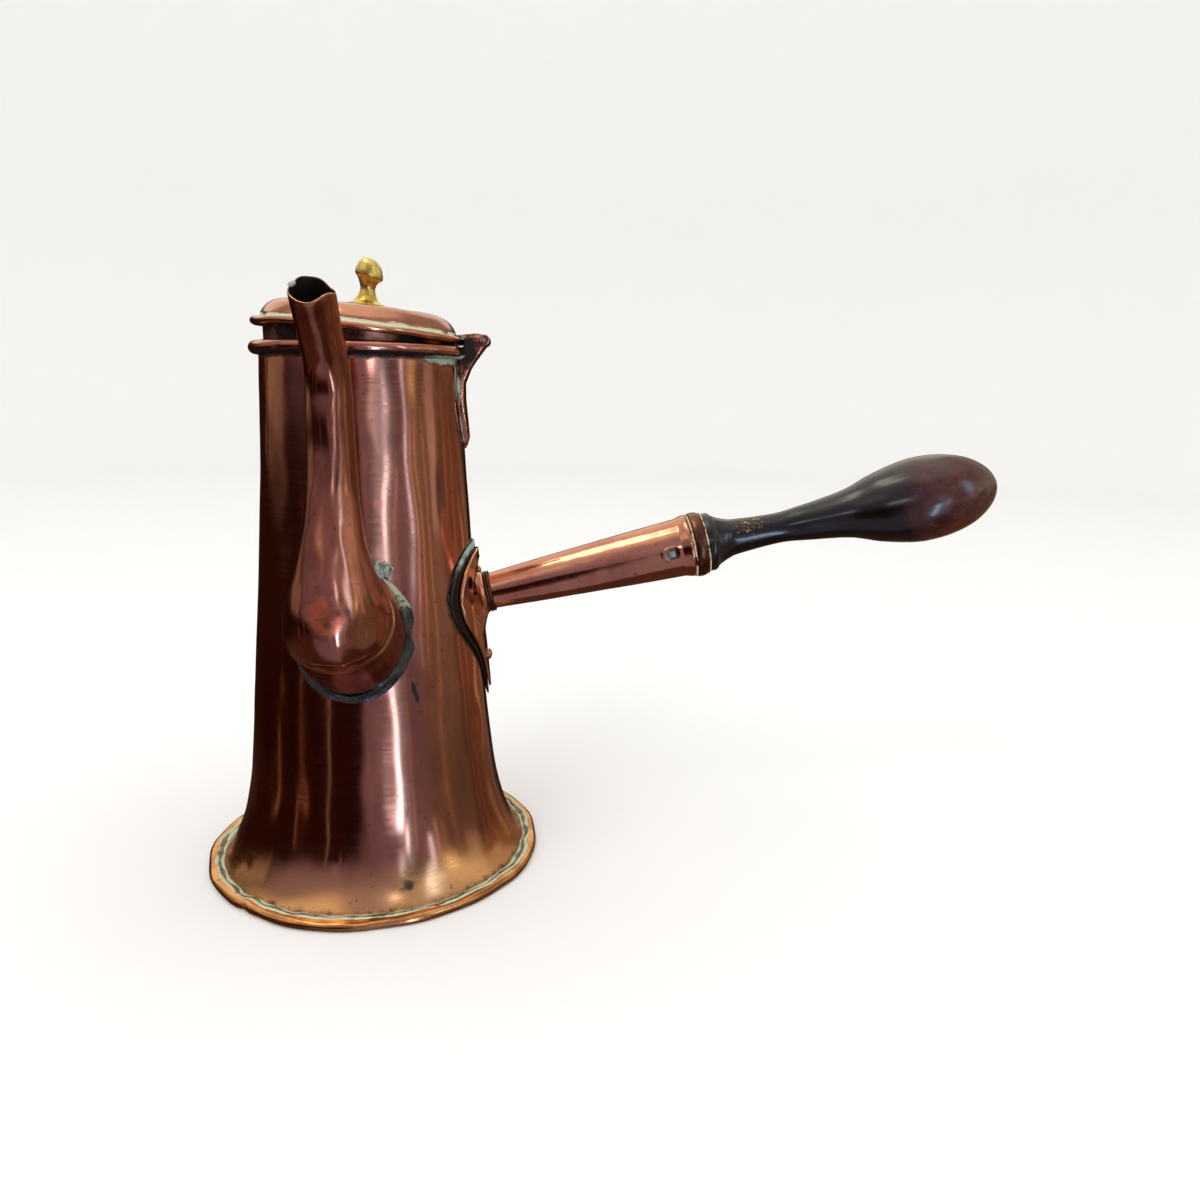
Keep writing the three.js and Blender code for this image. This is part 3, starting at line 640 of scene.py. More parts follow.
# %% Brass
def cast_brass():
    material, tree = new_tree("polished_cast_brass")
    place = place_on_piece(tree)
    cloud = stretch(tree, noise(tree, place, 7, 5), 0.35, 0.65)
    metal = blend_colours(tree, cloud, "#f3dd87", "#d8b558")
    fine = noise(tree, place, 1.6)
    dirt_and_shade = stretch(tree, ragged_mask(tree, "grime", fine, 0.8), 0.35, 0.8)
    return finished(
        material,
        Base_Color=blend_colours(tree, dirt_and_shade, metal, "#8a7440"),
        Metallic=stretch(tree, dirt_and_shade, 0, 1, 1.0, 0.3),
        Roughness=stretch(tree, fine, 0.3, 0.7, 0.24, 0.36),
        Normal=relief(tree, fine, 0.03),
    )


BRASS = cast_brass()
print("brass is ready")


# %% Varnished wood
def varnished_wood():
    material, tree = new_tree("varnished_turned_hardwood")
    place = place_on_piece(tree)
    level = mapped(tree, place, tilt=12)
    # Grain runs along the grip: fibres under a millimetre wide and some tens long.
    grain = stretch(tree, streaks(tree, level, (140, 260, 260), 4), 0.3, 0.75)
    wood = blend_colours(tree, grain, "#4d2119", "#33140f")
    cloud = noise(tree, place, 16, 5, 0.62)
    red = stretch(tree, ragged_mask(tree, "worn", cloud, 1.1), 0.3, 0.85)
    stained = blend_colours(tree, red, "#0d0707", wood)
    # Chips through the varnish, one to three millimetres across.
    flakes = noise(tree, mapped(tree, level, (0.55, 1, 1)), 1.3, 4, 0.8)
    lost = maths(tree, "ADD", flakes, add_up(tree, mask_of(tree, "chipped"), 0.3, -0.3))
    chip = stretch(tree, lost, 0.53, 0.57)
    smooth = stretch(tree, noise(tree, place, 5), 0.35, 0.7, 0.2, 0.28)
    scratches = streaks(tree, level, (90, 1500, 1500), 2, 0.5)
    pits = relief(tree, chip, 0.3, invert=True)
    return finished(
        material,
        Base_Color=blend_colours(tree, chip, stained, "#b98f55"),
        Roughness=add_up(tree, chip, 0.4, smooth),
        Normal=relief(tree, scratches, 0.015, pits),
        IOR=1.45,
        Coat_Weight=0.35,
        Coat_Roughness=0.14,
    )


WOOD = varnished_wood()
print("materials in all:", len(bpy.data.materials))

# %% [markdown]
# ## The body
#
# The real body is one sheet, rolled to a tapering tube and seamed, then hammered out at the
# bottom to the flare. Its top edge is rolled outwards over a wire, which is the round bead
# under the lid. It is made here as a closed profile turned about the pot's axis: up the
# outside, round the bead, down the inside. Then it is knocked about: soft waves all over, which
# is what makes the long reflections waver, and the dents that the photograph shows.

# %% Sizes of the body
SHEET = 1.2
SKIRT = (70.0, 2.55)
FLARE_PULL = (57.9, 16.0)
WAIST = (54.7, 50.0)
NECK_PULL = (44.3, 152.0)
MOUTH = (41.4, 229.9)
FLANGE_R = 75.2
WIRE_BORE = 1.4
BEAD_R = WIRE_BORE + SHEET
BEAD_CENTRE = (MOUTH[0] + WIRE_BORE, MOUTH[1])
BEAD_END = -98  # degrees round the wire at which the rolled edge stops
ROUND = 320
wall_curve = np.vstack(
    [bezier(SKIRT, FLARE_PULL, WAIST, 40), bezier(WAIST, NECK_PULL, MOUTH, 60)[1:]]
)


def body_radius(z):
    return np.interp(z, wall_curve[:, 1], wall_curve[:, 0])


def azimuth_of(points):
    return np.degrees(np.arctan2(points[..., 1], points[..., 0]))


def turn_between(azimuth, at):
    """Degrees from one azimuth to another, the short way."""
    return (azimuth - at + 180) % 360 - 180


print("body radius at the spout:", round(float(body_radius(118.5)), 2), "mm")

# %% Dents and waves in the body
# Each dent is (azimuth, height, half-width across, half-height, depth).
BODY_DENTS = [
    (-24, 69, 4.5, 7, 0.5),
    (-28, 12, 5, 3.5, 0.5),
    (-97, 22, 2, 5, 0.35),
    (-62, 160, 7, 22, 0.3),
    (-50, 182, 6, 16, 0.22),
    (-75, 60, 4, 26, 0.22),
    (-36, 44, 3.5, 15, 0.3),
    (-125, 150, 6, 18, 0.35),
    (-112, 40, 5, 14, 0.25),
    (-141, 10, 3, 3, 0.4),
    (-58, 11, 6, 2.5, 0.25),
    (40, 90, 9, 14, 0.5),
    (95, 60, 10, 12, 0.6),
    (130, 140, 8, 25, 0.4),
    (175, 35, 8, 10, 0.5),
    (-170, 190, 7, 20, 0.3),
]


def body_push(points):
    """How far each point of the body's wall is pushed along its radius, in mm."""
    z = points[..., 2]
    azimuth = azimuth_of(points)
    free = smooth_step(z, 5, 14) * (1 - smooth_step(z, 214, 226))
    push = 0.16 * ripple(points, (26, 26, 70), 4) + 0.05 * ripple(points, (11, 11, 34), 9)
    push = push * free
    for at, height, across, tall, depth in BODY_DENTS:
        side = np.radians(turn_between(azimuth, at)) * body_radius(height)
        push = push - depth * bump(side, across) * bump(z - height, tall)
    return push


def push_out(grid, distance):
    """Moves points away from the pot's axis."""
    scale = 1 + distance / np.maximum(np.hypot(grid[..., 0], grid[..., 1]), 1)
    return grid * np.stack([scale, scale, np.ones_like(scale)], -1)


print("dents in the body:", len(BODY_DENTS))

# %% [markdown]
# The strainer behind the spout is a field of drilled holes. Geometry Nodes make the drills: a
# leaning grid of points, trimmed to a round patch, with a drill standing on each. The tree's
# output is a plain mesh that cuts the wall.

# %% The strainer's drills
SPOUT_Z = 118.5
STRAINER = {"Pitch": 6.4, "Hole Radius": 1.6, "Reach": 14.0}
STRAINER_ROWS = 7
DRILL_LENGTH = 20


def strainer_tree():
    tree = bpy.data.node_groups.new("strainer_drills", "GeometryNodeTree")
    for name in STRAINER:
        tree.interface.new_socket(name, in_out="INPUT", socket_type="NodeSocketFloat")
    tree.interface.new_socket("Geometry", in_out="OUTPUT", socket_type="NodeSocketGeometry")
    given = add_node(tree, "NodeGroupInput").outputs
    width = maths(tree, "MULTIPLY", given["Pitch"], STRAINER_ROWS - 1)
    depth = maths(tree, "MULTIPLY", width, math.sqrt(3) / 2)
    field = add_node(
        tree,
        "GeometryNodeMeshGrid",
        Size_X=width,
        Size_Y=depth,
        Vertices_X=STRAINER_ROWS,
        Vertices_Y=STRAINER_ROWS,
    )
    # Each row moves half a pitch further sideways, which makes the triangles.
    at = add_node(tree, "GeometryNodeInputPosition").outputs[0]
    rows = add_node(tree, "ShaderNodeSeparateXYZ", Vector=at).outputs["Y"]
    lean = maths(tree, "MULTIPLY", rows, 1 / math.sqrt(3))
    shift = add_node(tree, "ShaderNodeCombineXYZ", X=lean).outputs[0]
    leaning = add_node(
        tree, "GeometryNodeSetPosition", Geometry=field.outputs["Mesh"], Offset=shift
    ).outputs["Geometry"]
    here = add_node(tree, "GeometryNodeInputPosition").outputs[0]
    far = add_node(tree, "ShaderNodeVectorMath", {"operation": "LENGTH"}, i0=here)
    outside = add_node(
        tree,
        "FunctionNodeCompare",
        {"operation": "GREATER_THAN"},
        A=far.outputs["Value"],
        B=given["Reach"],
    ).outputs[0]
    kept = add_node(
        tree, "GeometryNodeDeleteGeometry", Geometry=leaning, Selection=outside
    ).outputs[0]
    drill = add_node(
        tree,
        "GeometryNodeMeshCylinder",
        Vertices=20,
        Radius=given["Hole Radius"],
        Depth=DRILL_LENGTH * MM,
    ).outputs["Mesh"]
    stood = add_node(
        tree, "GeometryNodeInstanceOnPoints", Points=kept, Instance=drill
    ).outputs[0]
    real = add_node(tree, "GeometryNodeRealizeInstances", Geometry=stood).outputs[0]
    finish = add_node(
        tree, "GeometryNodeSetMaterial", Geometry=real, Material=BODY_COPPER
    ).outputs[0]
    add_node(tree, "NodeGroupOutput", Geometry=finish)
    return tree


def strainer_drills():
    source = show("drills_source", bpy.data.meshes.new("drills_source"))
    nodes = source.modifiers.new("strainer", "NODES")
    nodes.node_group = strainer_tree()
    for item in nodes.node_group.interface.items_tree:
        if item.in_out == "INPUT":
            nodes[item.identifier] = STRAINER[item.name] * MM
    drills = baked(source, "strainer_drills")
    place = Vector((0, -float(body_radius(SPOUT_Z)), SPOUT_Z)) * MM
    drills.data.transform(Matrix.Translation(place) @ turn(90, "X"))
    return drills


print("strainer holes are", 2 * STRAINER["Hole Radius"], "mm across")

# %% Where dirt lies on the body
HANDLE_Z = 123.3
JOINT_HALF_WIDTH = 22.0
JOINT_HALF_HEIGHT = 26.3
JOINT_MIDDLE = SPOUT_Z - 0.8
# Half the width of the handle's back plate, at heights from the handle's axis.
MOUNT_WIDTH = (
    (-48, -44, -35, -24, -11.5, -3, 4.6, 16.7, 23.5, 25.3),
    (0, 2.6, 7, 15.1, 24.9, 28.4, 29, 23.2, 13, 0),
)
WALL_TOP = 229  # where the wall ends and the bead begins
# The tail of the hinge's bracket: its end, and half its width at three heights.
TAIL_END = 188
TAIL_WIDTH = ((190, 208, 228), (1, 8, 10))
NECK_R = 42  # radius of the body behind the tail
SCRATCH_X, SCRATCH_Z, SCRATCH_LEAN = 24.7, 91, 0.21  # a dark scratch over the body's front
SCUFF_AZIMUTH, SCUFF_Z = -70.5, 11.4  # a dark scuff above the foot
SPECK = (11.6, -42.9, 169.9)  # a speck of raw metal


def outside_joint(points, margin):
    """Distance in mm outside the oval of the spout's joint, on the front of the body."""
    wide, tall = JOINT_HALF_WIDTH + margin, JOINT_HALF_HEIGHT + margin
    share = np.hypot(points[..., 0] / wide, (points[..., 2] - JOINT_MIDDLE) / tall)
    return np.where(points[..., 1] < 0, (share - 1) * (wide + tall) / 2, 100)


def outside_mount(points):
    """Distance in mm outside the handle's back plate, on the +X side."""
    up = points[..., 2] - HANDLE_Z
    beyond = np.maximum(np.maximum(up - 25, -48 - up), 0)
    away = np.maximum(np.abs(points[..., 1]) - np.interp(up, *MOUNT_WIDTH), 0) + beyond
    return np.where(points[..., 0] > 0, away, 100)


def body_masks(grid):
    z = grid[..., 2]
    azimuth = azimuth_of(grid)
    radius = np.hypot(grid[..., 0], grid[..., 1])
    under_bead = 0.9 * smooth_step(z, 224, 227.5) * (z < WALL_TOP)
    # A dark ring round the spout's joint: dirt, and painted shade under the solder's edge.
    round_joint = 0.5 * bump(np.maximum(outside_joint(grid, 2), 0), 1.5)
    round_mount = 0.8 * bump(outside_mount(grid), 2.2)
    tail_side = np.radians(turn_between(azimuth, 0)) * NECK_R
    tail_away = np.maximum(np.abs(tail_side) - np.interp(z, *TAIL_WIDTH), 0)
    round_tail = np.where((z > TAIL_END) & (z < WALL_TOP), bump(tail_away, 2.0), 0)
    at_foot = 0.55 * smooth_step(-z, -8, -3)
    off_scratch = grid[..., 0] - SCRATCH_X + SCRATCH_LEAN * (z - SCRATCH_Z)
    scratched = 1.3 * bump(off_scratch, 1.0) * bump(z - SCRATCH_Z, 6.5)
    scratched = np.where(grid[..., 1] < 0, scratched, 0)
    scuffs = bump(np.abs(turn_between(azimuth, SCUFF_AZIMUTH)) + 2 * np.abs(z - SCUFF_Z), 8)
    inside = np.where((radius < body_radius(z) - 0.8) & (z < WALL_TOP), 0.5, 0)
    grime = np.maximum.reduce(
        [under_bead, round_joint, round_mount, round_tail, at_foot, scratched, inside, 0.7 * scuffs]
    )
    green = 0.7 * bump(z - 226.6, 1.1) * (0.75 + 0.25 * ripple(grid, (30, 30, 30), 31))
    at_hinge = smooth_step(azimuth, -85, -25) * (1 - smooth_step(azimuth, 30, 80))
    green = np.maximum(green, 0.9 * at_hinge * bump(z - 226.2, 1.2 + 1.6 * at_hinge))
    green = np.maximum(green, 0.85 * round_tail * smooth_step(z, 196, 214))
    green = np.maximum(green, 0.5 * bump(outside_mount(grid), 1.0))
    green = np.where(inside > 0, 0.25, green)
    speck = 0.8 * bump(distance_to(grid, SPECK), 2.6)
    # The lowest band of the flare is painted golden: a painted warm reflection.
    painted_warm_reflection = 1 - smooth_step(z, 9, 25)
    return {"grime": grime, "verdigris": green, "bare": speck, "rubbed": painted_warm_reflection}


print("the spout's joint is", 2 * JOINT_HALF_WIDTH, "mm wide")

# %% Body mesh
def body_grid():
    outside = resample(wall_curve, 1.9)
    inside = inward(resample(wall_curve, 4), SHEET)
    inside = inside[inside[:, 1] > SKIRT[1] - 1.0]
    rolled_in = arc(BEAD_CENTRE, WIRE_BORE, 180, BEAD_END, 20)[1:]
    rolled_out = arc(BEAD_CENTRE, BEAD_R, BEAD_END, 180, 28)
    flange = [(FLANGE_R, SKIRT[1] - SHEET), (FLANGE_R, SKIRT[1]), (FLANGE_R - 2, SKIRT[1])]
    profile = np.vstack([flange, outside, rolled_in, rolled_out, inside[:-1][::-1]])
    return turned(profile, ROUND)


grid = body_grid()
masks = body_masks(grid)
body = skin("copper_body", push_out(grid, body_push(grid)), **masks)
body = cut(body, strainer_drills())
dress(body, "pot", BODY_COPPER, "copper", "body_shell")

# %% [markdown]
# ## The foot
#
# The flat base is a separate disc. Its edge was folded up and hammered down over the skirt's
# flange, and solder was run along the fold. Two centuries of being set down have made the edge
# wander: it is never outside the true circle, so the waves here only go inwards.

# %% Foot
FOOT_R = 76.7
FOLD_TOP = 3.9
FOLD_R = 72.3
NOTCH_AZIMUTH = -128.7


def foot_shrink(azimuth):
    """How far the foot's edge has been driven in, in mm."""
    a = np.radians(azimuth)
    waves = 0.34 * np.sin(5 * a + 0.7) + 0.26 * np.sin(9 * a + 2) + 0.2 * np.sin(17 * a)
    notch = 1.1 * bump(turn_between(azimuth, NOTCH_AZIMUTH), 1.8)
    return np.maximum(0.55 + waves, 0) + notch


def foot_grid():
    edge = np.vstack(
        [
            arc((FOOT_R - 1.5, 1.5), 1.5, -90, 0, 6),
            arc((FOOT_R - 1.9, FOLD_TOP - 1.9), 1.9, 0, 90, 8),
            [(FOLD_R + 1.2, FOLD_TOP - 0.05), (FOLD_R + 0.3, FOLD_TOP - 0.3)],
            [(FOLD_R, FOLD_TOP - 0.7), (FOLD_R, FOLD_TOP - 1.2), (FOLD_R + 2, FOLD_TOP - 1.25)],
            [(FOOT_R - SHEET, FOLD_TOP - SHEET), (FOOT_R - SHEET, SHEET)],
        ]
    )
    floor = [(r, 0) for r in (0, 20, 40, 55, 66, 72)]
    back = [(r, SHEET) for r in (72, 66, 55, 40, 20, 0)]
    grid = turned(np.vstack([floor, edge, back]), ROUND)
    outer = smooth_step(np.hypot(grid[..., 0], grid[..., 1]), 55, 71)
    grid = push_out(grid, -outer * foot_shrink(azimuth_of(grid)))
    top = smooth_step(grid[..., 2], 2.2, 3.8) * outer
    grid[..., 2] += top * (0.16 * ripple(grid, (14, 14, 14), 12) - 0.12)
    return grid


grid = foot_grid()
radius = np.hypot(grid[..., 0], grid[..., 1])
on_top = (grid[..., 2] > 2.4) & (radius > 66)
below = np.where(grid[..., 2] < 0.3, 0.35, 0.1)
foot = skin(
    "folded_foot",
    grid,
    close_rows=False,
    grime=np.where(on_top, 0.4 * bump(radius - 71.6, 0.8), below),
    verdigris=np.where(on_top, 0.5 * bump(radius - 71.4, 0.8), 0),
)
dress(foot, "pot", FOOT_COPPER, "copper", "base_plate")

# %% Solder along the foot's fold
SEAM_R = 71.15
SEAM_SECTION = [
    (-2.3, 2.75),
    (-1.7, 3.25),
    (-0.9, 3.6),
    (0, 3.45),
    (0.9, 3.85),
    (1.6, 4.05),
    (2.1, 3.7),
    (1.9, 2.8),
    (0, 2.62),
]


def foot_solder_grid():
    grid = turned(np.array(SEAM_SECTION) + (SEAM_R, 0), 720)
    raised = np.clip((grid[..., 2] - 2.6) / 1.4, 0, 1)
    lumps = 0.22 * ripple(grid, (3.2, 3.2, 6), 21) + 0.3 * ripple(grid, (9, 9, 9), 22)
    wander = 0.5 * ripple(grid, (16, 16, 16), 23) - 0.5 * foot_shrink(azimuth_of(grid))
    grid = push_out(grid, wander)
    grid[..., 2] += 0.7 * lumps * raised
    return grid


grid = foot_solder_grid()
# Salt grows on the two edges of the run and leaves its middle dark.
edges = np.array([1, 1, 0.8, 0.2, 0.7, 1, 1, 1, 1])[:, None]
seam = skin("foot_seam", grid, verdigris=0.85 * edges + 0.2 * ripple(grid, (9, 9, 9), 24))
dress(seam, "pot", FOOT_SOLDER, "solder", "foot_seam_solder")

# %% [markdown]
# ## The spout
#
# The spout was raised from two pieces: a short root cut to the body, and a pear-shaped tube with
# a bulb at the bottom. Their joint shows as a thin ridge under the bulb, and it has opened a
# little on the left. Each piece is a loft. A station gives the back and the front point of an
# oval ring and its share of the width, in hundredths of the spout's rise.

# %% Spout stations
SPOUT_RISE = 132.0
# Each row: back reach and height, front reach and height, share of the width.
ROOT = [
    (-10.7, 18.9, -6.1, -22.1, 1),  # inside the body, where the ring is cut away
    (-6.1, 19.3, -0.8, -20.5, 1),
    (-1.5, 19.7, 4.5, -18.9, 1),
    (1.9, 18.9, 15.2, -12.1, 0.97),
    (5.2, 17.6, 25.6, -5.2, 0.914),
]
TUBE = [
    (5.4, 17.8, 25.8, -4.9, 0.918),
    (6.4, 20.8, 31.1, -1.1, 0.895),
    (7.4, 23.9, 33.9, 5.3, 0.81),
    (8.2, 27.3, 34.1, 13.3, 0.695),
    (9.4, 34.5, 29.2, 28.8, 0.532),
    (9.5, 48.1, 23.2, 47, 0.418),
    (8.9, 65.5, 21.7, 64.9, 0.391),
    (10.8, 79.9, 22.2, 76.1, 0.359),
    (16.1, 88.8, 26.1, 82.3, 0.355),
    (24.2, 99.9, 34, 92.8, 0.359),
]


def spout_grid(stations, steps, columns):
    line = smooth_line(stations, steps)
    wall = float(body_radius(SPOUT_Z))
    back = line[:, 0:2] * SPOUT_RISE / 100 + (wall, SPOUT_Z)
    front = line[:, 2:4] * SPOUT_RISE / 100 + (wall, SPOUT_Z)
    middle, deep = (front + back) / 2, (front - back) / 2
    a = round_angles(columns)
    x = np.outer(line[:, 4] * JOINT_HALF_WIDTH, np.cos(a))
    y = -middle[:, :1] - deep[:, :1] * np.sin(a)
    z = middle[:, 1:] + deep[:, 1:] * np.sin(a)
    return np.stack([x, y, z], 2)


print("stations of the spout:", len(ROOT) + len(TUBE))

# %% Spout tube
TUBE_DENTS = [
    (0.8, -77.3, 213.5, 5, 0.7),
    (-2.6, -77.5, 193.8, 6, 0.4),
    (11.5, -88.6, 127.9, 5, 0.7),
    (-4.0, -92.5, 139.0, 6, 0.45),
    (3.5, -93.5, 131.0, 5, 0.35),
    (7.0, -78.0, 176.0, 7, 0.4),
    (-7.0, -78.0, 165.0, 8, 0.35),
    (8.0, -81.0, 224.0, 5, 0.4),
]
# The lip's edge: (degrees round the mouth, rise in mm, half-width in degrees). 90 is the front.
LIP_WAVES = [
    (118, -0.4, 20),
    (92, -0.5, 13),
    (50, 0.9, 18),
    (4, -1.7, 16),
    (232, 0.9, 24),
    (310, -1.5, 25),
]
LIP_FOLD = 200  # where the lip is bent in
LIP_THICK = 0.75
# On the bulb a patch is rubbed back to raw metal, with two brown smears over it.
RAW_PATCH = (0.6, -93.3, 135.8)
SMEARS = [((0.8, -93.8, 132.6), 2.6), ((5.0, -93.0, 137.2), 2.2)]  # place and radius


def tube_grid():
    grid = spout_grid(TUBE, 12, 128)
    rows, columns, _ = grid.shape
    row = np.arange(rows)[:, None]
    normals = grid_normals(grid)
    edge = 0.7 * bump(row, 1.0)
    waves = 0.16 * ripple(grid, (17, 17, 40), 51) + 0.07 * ripple(grid, (7, 7, 14), 52)
    grid = grid + normals * (edge + waves)[..., None]
    grid = knock(grid, normals, TUBE_DENTS)
    degrees = np.degrees(round_angles(columns))
    upward = grid[-1] - grid[-4]
    upward /= np.linalg.norm(upward, axis=1, keepdims=True)
    lift = sum(rise * bump(turn_between(degrees, at), width) for at, rise, width in LIP_WAVES)
    near_mouth = smooth_step(row, rows - 15, rows - 1)
    grid = grid + (near_mouth * lift)[..., None] * upward
    # The right-hand end of the mouth has been pinched to a point.
    a = np.radians(degrees)
    deep = (grid[:, columns // 4] - grid[:, 3 * columns // 4])[:, None] / 2
    pinch = np.sin(a) * (1 - np.abs(np.sin(a))) * (np.cos(a) > 0)
    pinched = smooth_step(row, rows - 26, rows - 1)
    grid = grid - (0.85 * pinched * pinch)[..., None] * deep
    fold = bump(turn_between(degrees, LIP_FOLD), 10) * smooth_step(row, rows - 5, rows - 1)
    return grid - normals * (1.1 * fold)[..., None], normals


grid, normals = tube_grid()
thinning = smooth_step(np.arange(len(grid)), len(grid) - 20, len(grid) - 1)
shell = sheet_grid(grid, SHEET - (SHEET - LIP_THICK) * thinning, normals)
row = np.arange(len(shell))[:, None]
# The inside of the tube is painted black: painted shade.
inside = row >= len(grid) + 2
smears = np.maximum.reduce([bump(distance_to(shell, at), radius) for at, radius in SMEARS])
outside_dirt = 0.3 * smooth_step(row, 0.95 * len(grid), len(grid)) + 0.6 * smears
# Painted highlights run along the ridge under the bulb and along the lip's edge.
tube = skin(
    "spout_tube_raised",
    shell,
    grime=np.where(inside, 1.0, outside_dirt),
    bare=1 - smooth_step(distance_to(shell, RAW_PATCH), 3.5, 10.5),
    rubbed=0.8 * bump(row - 0.5, 1.5) + 0.7 * bump(row - len(grid), 2.5),
)
# At the left of the mouth a scrap of the lip is curled over; its pale grey is its tinned side with
# a painted glint on it.
CURL = [(0, -1), (0.8, -0.7), (1.05, 0), (0.7, 0.8), (0, 1.05)]
CURL_PLACE = (-6.7, -85.8, 247.5)
curl = turned(smooth_line(CURL, 4), 24) * (0.85, 0.85, 1.5)
curl = placed(curl, Matrix.Translation(CURL_PLACE) @ turn(62, "Y"))
curled = skin("curl", curl, close_rows=False, verdigris=1.0, grime=0.0, bare=0.0)
tube = joined(tube, curled)
dress(tube, "pot", SPOUT_COPPER, "spout_copper", "spout_tube")

# %% Spout root, cut to the body
OPEN_SEAM = (-5.5, -84.6, 114.7)


def root_grid():
    fine = spout_grid(ROOT, 60, 128)
    clear = np.hypot(fine[..., 0], fine[..., 1]) - body_radius(fine[..., 2]) - 0.1
    rows, columns, _ = fine.shape
    start = np.array([np.nonzero(clear[:, c] < 0)[0].max() for c in range(columns)])
    at = start + np.linspace(0, 1, 30)[:, None] * (rows - 1 - start)
    low = np.minimum(at.astype(int), rows - 2)
    part = (at - low)[..., None]
    column = np.arange(columns)
    grid = fine[low, column] * (1 - part) + fine[low + 1, column] * part
    normals = grid_normals(grid)
    grid = grid + normals * (0.12 * ripple(grid, (15, 15, 15), 55))[..., None]
    sunk = bump(distance_to(grid, OPEN_SEAM), 4)
    return grid - normals * (0.7 * sunk)[..., None], normals


grid, normals = root_grid()
shell = sheet_grid(grid, SHEET, normals)
near_seam = bump(distance_to(shell, OPEN_SEAM), 2.5)
root = skin("spout_root_raised", shell, grime=near_seam * 0.8)
dress(root, "pot", SPOUT_COPPER, "spout_copper", "spout_root")

# %% [markdown]
# Solder was run round the root from the right-hand side, where it stands in a thick wavy fillet
# and has splashed up the body. Underneath it is a thin dark line. The fillet is a grid too: its
# rows go from the outer edge over the hump to the root, and its width is a function of the angle.

# %% Spout solder
# How far the fillet reaches beyond the root, in mm, at degrees round the joint.
SOLDER_REACH = (
    (-133, -103, -71, -38, -13, -3.4, 6, 15.5, 28, 44, 70, 110, 150, 190),
    (4.0, 2.5, 3.2, 3.6, 3.5, 0.9, 2.8, 3.2, 2.2, 1.4, 1.2, 1.8, 2.4, 3.2),
)
# The splash above the fillet: its x and z, its radius, and its height off the body.
SPLASH = (11.9, 142.6, 4.6, 0.7)
SPLASH_SECTION = [(0, 1), (0.35, 0.9), (0.7, 0.8), (0.9, 0.6), (1, 0.2), (0.9, 0.1), (0, 0.1)]
# The section: share of the width from the outer edge to the root, and height off the body.
SOLDER_SECTION = [
    (0, 0.1),
    (0.12, 0.5),
    (0.35, 0.8),
    (0.6, 1.15),
    (0.85, 1.9),
    (1.05, 2.7),
    (1.3, 2.6),
    (1.4, 0.1),
]


def laid_on_front(x, z, height):
    """A ring of points at a height off the front of the body."""
    off = body_radius(z) + height
    return np.stack([x, -np.sqrt(off**2 - x**2), z], 1)


def solder_grid():
    a = round_angles(360)
    degrees = np.degrees(a)
    width = np.interp(degrees, *SOLDER_REACH, period=360) + 0.12 * np.sin(19 * a)
    width = (np.roll(width, 3) + 2 * width + np.roll(width, -3)) / 4
    rows = []
    for share, height in SOLDER_SECTION:
        reach = (1 - share) * (width if share < 1 else 3.4)
        x = (JOINT_HALF_WIDTH + reach) * np.cos(a)
        z = JOINT_MIDDLE + (JOINT_HALF_HEIGHT + reach) * np.sin(a)
        rows.append(laid_on_front(x, z, height))
    grid = np.stack(rows)
    lump = 0.3 * ripple(grid, (8, 8, 8), 61) + 0.07 * ripple(grid, (2.6, 2.6, 2.6), 62)
    raised = np.array((0, 0.6, 1, 1, 1, 0.6, 0, 0))[:, None]
    return push_out(grid, lump * raised)


def splash_grid():
    x, z, radius, height = SPLASH
    a = round_angles(64)
    reach = radius * (1 + 0.12 * np.sin(3 * a + 1) + 0.08 * np.sin(7 * a) + 0.05 * np.sin(13 * a))
    rows = []
    for share, up in SPLASH_SECTION:
        across, level = x + share * reach * np.cos(a), z + share * reach * np.sin(a)
        rows.append(laid_on_front(across, level, up * height))
    grid = np.stack(rows)
    return push_out(grid, 0.12 * ripple(grid, (3, 3, 3), 63) * (grid[:1, :, :1] != 0)[..., 0])


grid = solder_grid()
# Green grows on the upper right of the fillet only; the rest is slate grey.
upper = smooth_step(grid[..., 2], JOINT_MIDDLE + 2, JOINT_MIDDLE + 15) * (grid[..., 0] > 0)
green = 0.1 + 0.55 * upper * (0.85 + 0.25 * ripple(grid, (8, 8, 8), 64))
solder = skin("spout_solder_run", grid, verdigris=green)
splash = skin("splash", splash_grid(), close_rows=False, verdigris=0.52)
solder = joined(solder, splash)
dress(solder, "pot", SPOUT_SOLDER, "solder", "spout_solder")

# %% [markdown]
# ## Frames of the handle, the grip and the lid
#
# The handle, the grip and the lid are each easiest to draw level, in a frame of their own, and
# then to put in place with one matrix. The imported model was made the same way, so the numbers
# agree: the handle climbs by 13.5 degrees, the grip has sagged by 1.5 degrees about its cross
# pin, and the lid stands 4 degrees open about the hinge pin.

# %% Frames
HANDLE_PITCH = 13.5
GRIP_DROOP = 1.5
LID_AJAR = 4
PIN_ALONG = 90.8
HINGE = Vector((52.8, 0, 235.4))


def about(point, degrees):
    """A turn about the Y axis through a point, in mm."""
    point = Vector(point)
    return Matrix.Translation(point) @ turn(degrees, "Y") @ Matrix.Translation(-point)


def in_metres(matrix):
    scaled = matrix.copy()
    scaled.translation *= MM
    return scaled


HANDLE = Matrix.Translation((float(body_radius(HANDLE_Z)), 0, HANDLE_Z)) @ turn(-HANDLE_PITCH, "Y")
SAGGED = HANDLE @ about((PIN_ALONG, 0, 0), GRIP_DROOP)
LID = about(HINGE, LID_AJAR)
print("handle starts at", [round(v, 1) for v in HANDLE.translation])

# %% [markdown]
# ## The handle's mount
#
# Two shields of sheet lie on the body: a larger one that has gone dark and green, and on it a
# bright one that swells into a trumpet for the socket. Both are polar grids, spun from the
# middle out to a shield-shaped edge and then laid on the body.

